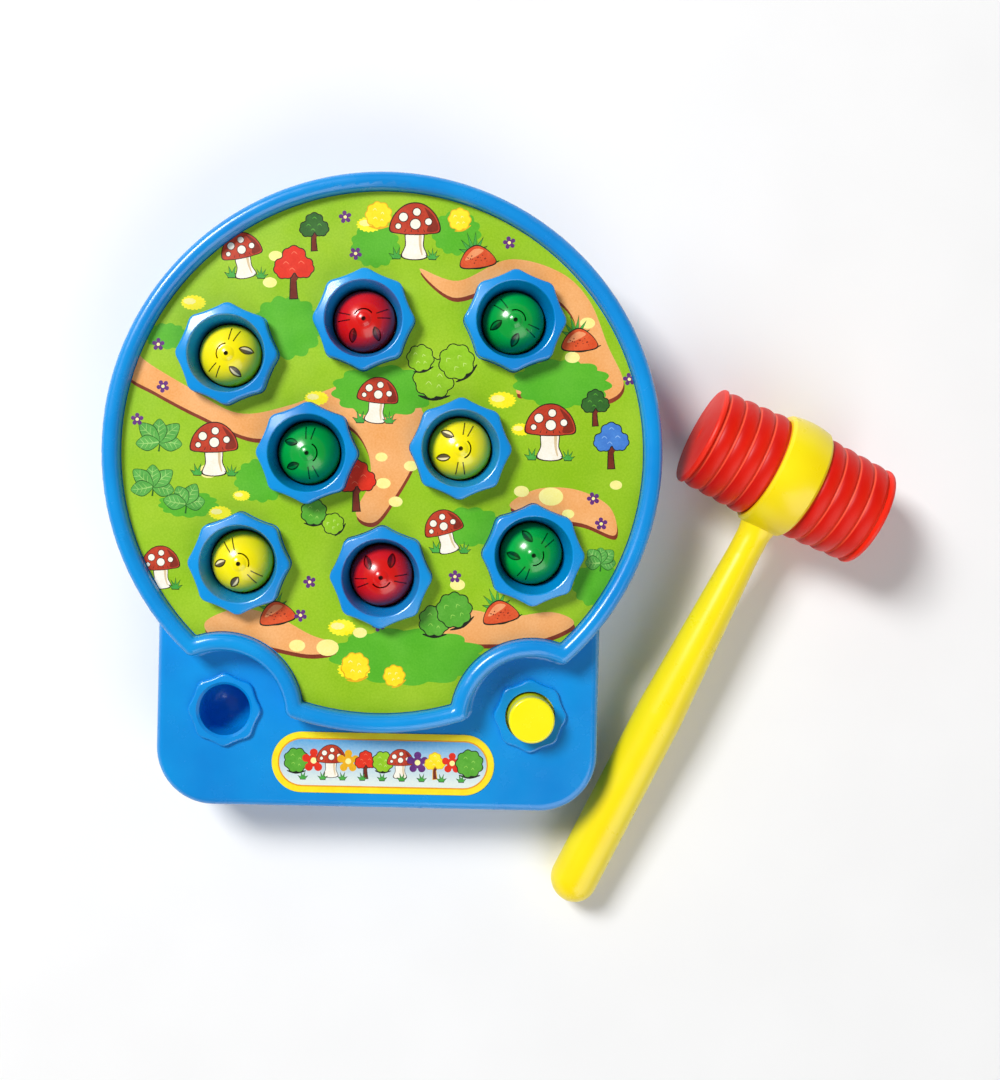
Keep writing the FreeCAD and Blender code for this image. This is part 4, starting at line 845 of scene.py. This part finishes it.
# Dark and light shade of each printing ink
INKS = {
    "field": ("8CBE0A", "A6CE2A"), "moss": ("50B01C", "62BC2C"), "tan": ("F0A256", "FAB878"),
    "soil": ("7A2E18", "923C22"), "pebble": ("FAF08A", "FFF6A0"), "cream": ("F8F0DA", "FFFBEF"),
    "shade": ("D9BE92", "E4CDA4"), "line": ("2A120C", "3A1A10"), "outline": ("10140A", "1C2010"),
    "splash": ("FFEC00", "FFF838"), "blade": ("3FA03A", "52B448"), "rust": ("B4341C", "CC4426"),
    "rust_dark": ("7A2010", "8E2A16"), "leaf": ("4FA040", "66B850"),
    "leaf_line": ("1E5A16", "2A6A1E"), "leaf_vein": ("8CC860", "A4D878"),
    "bush": ("4FA428", "62B238"), "bush_light": ("8CCC4C", "9CD85C"),
    "lime": ("8CC414", "9CD028"), "lime_light": ("C0E068", "CCE87C"),
    "pine": ("2A601E", "366E28"), "tree_red": ("DC2810", "EA341A"),
    "tree_red_light": ("F46848", "F87C5C"), "sky_blue": ("3E78CC", "4A88D8"),
    "pale_blue": ("80B0EC", "94C0F4"), "sun": ("FFE010", "FFEC28"), "butter": ("FFF48A", "FFF8AC"),
    "amber": ("E8A80C", "F4B81C"), "clay": ("D8481C", "E86030"), "clay_light": ("F49058", "F8A470"),
    "bark": ("6A2214", "7E2E1C"), "violet": ("5A2470", "703484"),
    "plate_line": ("E8960C", "F0A018"), "plate_sky": ("E8F2E8", "58A8DC"),
}
# How far apart the shades of the large fields of ink lie; SMALL_DRIFT is for every other ink
DRIFTS = {"field": 28.0, "moss": 12.0, "tan": 16.0}
SMALL_DRIFT = 4.0


def ink_material(ink):
    """The printed finish of an ink, made once."""
    found = bpy.data.materials.get("varnished_print_" + ink)
    if found:
        return found
    low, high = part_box("nameplate")
    fade = (low.y / MM + 4, high.y / MM - 3) if ink == "plate_sky" else None
    drift = DRIFTS.get(ink, SMALL_DRIFT)
    return varnished_print("varnished_print_" + ink, *INKS[ink], drift, fade)


def inlay(name, cad_name, ground, shapes):
    """A thin printed film on a CAD node's top face, cut into flat fields of ink."""
    loops, top = loops_on_top(NODES[cad_name])
    outlines = [[(p[0] / MM, p[1] / MM) for p in loop] for loop in loops]
    outlines += [outline for _, outline in shapes]
    inks = [ground] + [ink for ink, _ in shapes]
    holes = len(loops) - 1
    points, fields = [], []
    for outline in outlines:
        if area(outline) < 0:
            outline = outline[::-1]
        fields.append(list(range(len(points), len(points) + len(outline))))
        points += [Vector(p) for p in outline]
    found = delaunay_2d_cdt(points, [], fields, 1, 1e-5)
    verts, tris, owners = found[0], found[2], found[5]
    used = sorted(set(inks))
    keep, slots = [], []
    for tri, inside in zip(tris, owners):
        if 0 in inside and not any(1 <= k <= holes for k in inside):
            best = max(inside)
            keep.append(tri)
            slots.append(used.index(inks[best - holes] if best else ground))
    level = top / MM + FILM_LIFT
    new_id = {old: k for k, old in enumerate(sorted({v for tri in keep for v in tri}))}
    keep = [[new_id[v] for v in tri] for tri in keep]
    obj = skin(name, [(verts[v].x * MM, verts[v].y * MM, level * MM) for v in new_id], keep)
    for ink in used:
        obj.data.materials.append(ink_material(ink))
    obj.data.polygons.foreach_set("material_index", slots)
    obj.data.update()
    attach(obj, BODY_OF[cad_name])


# Studio, whose named sizes and places are in metres

FLOOR_HALF = 1.1
FLOOR_FADE = (0.32, 0.85)
ROOM_LIGHT = 0.15
# The mirrored room turns from white to dim between these two slopes of the ray
ROOM_EDGE = (0.1, 0.5)
LAMP_AIM = Vector((0.03, 0.0, 0.03))
# name, place, width, watts
LAMPS = (("key", (-1.0, 0.95, 1.5), 0.6, 41.0), ("fill", (0.75, -1.35, 1.2), 1.6, 17.0))


def floor_sheet():
    """A white sheet that fades out into the white room."""
    # matt paper: no highlight of its own, and the toy's soft shadow
    mat, tree, shader, at = surface("matt_white_paper", IOR=1.5)
    fibre = node(tree, NOISE, {"Vector": at, "Scale": per_mm(60.0)})
    colour = node(tree, RAMP, [fibre], [(LOW, "F6F6F6"), (HIGH, "F9F9F9")])
    gloss_and_grain(tree, shader, at, colour, rough=0.8, swing=0.05, grain_mm=0.6, bump=0.1)
    away = node(tree, VECTOR, [at], operation="LENGTH").outputs["Value"]
    fade = node(tree, RANGE, [away, *FLOOR_FADE, 1.0, 0.0])
    tree.links.new(fade.outputs[0], shader.inputs["Alpha"])
    half = FLOOR_HALF
    corners = [(-half, -half, 0), (half, -half, 0), (half, half, 0), (-half, half, 0)]
    floor = skin("studio_floor", corners, [(0, 1, 2, 3)])
    floor.data.materials.append(mat)
    floor.location.z = -0.3 * MM


def room():
    """A room that is seen white, though it lights the toy only a little."""
    world = bpy.data.worlds.new("studio")
    bpy.context.scene.world = world
    world.use_nodes = True
    tree = world.node_tree
    # gloss shows the room white low down and dim overhead
    height = node(tree, SPLIT, [node(tree, "ShaderNodeTexCoord")]).outputs["Z"]
    mirrored = node(tree, RANGE, [height, *ROOM_EDGE, 1.0, ROOM_LIGHT])
    rays = node(tree, "ShaderNodeLightPath").outputs
    sharp = [rays["Is Glossy Ray"], rays["Is Transmission Ray"]]
    gloss = node(tree, MATH, sharp, operation="MAXIMUM")
    level = node(tree, RANGE, [gloss, 0.0, 1.0, ROOM_LIGHT, mirrored])
    level = node(tree, MATH, [level, rays["Is Camera Ray"]], operation="MAXIMUM")
    tree.links.new(level.outputs[0], tree.nodes["Background"].inputs["Strength"])
    tree.nodes["Background"].inputs["Color"].default_value = linear("FFFFFF")


def lamps():
    """Two soft square lamps over the toy."""
    for name, spot, size, power in LAMPS:
        data = bpy.data.lights.new(name, "AREA")
        data.shape, data.size, data.energy = "SQUARE", size, power
        lamp = placed(name, data)
        lamp.location = spot
        lamp.rotation_euler = (LAMP_AIM - Vector(spot)).to_track_quat("-Z", "Y").to_euler()


def camera():
    """Straight above a point of the board, as the photograph's perspective shows."""
    image_w, image_h, focal_px = 1000, 1080, 1214.1
    below_x, below_y = 424, 458
    data = bpy.data.cameras.new("camera")
    data.sensor_width = 36.0
    data.lens = focal_px / image_h * data.sensor_width
    data.shift_x = (image_w / 2 - below_x) / image_h
    data.shift_y = -(image_h / 2 - below_y) / image_h
    data.clip_start, data.clip_end = 0.01, 20.0
    cam = placed("camera", data)
    cam.location = metres((15.04, -1.74, 472))
    cam.rotation_euler = (0.0, 0.0, math.radians(1.2))
    bpy.context.scene.camera = cam


dress_nodes()
sleeves()
return_spring()
inlay("meadow_print", "play_face_card", "field", meadow())
low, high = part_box("nameplate")
inlay("nameplate_print", "nameplate", "sun", plate_picture(*middle_mm(low, high)))
floor_sheet()
room()
lamps()
camera()
bpy.context.scene.view_settings.view_transform = "Standard"
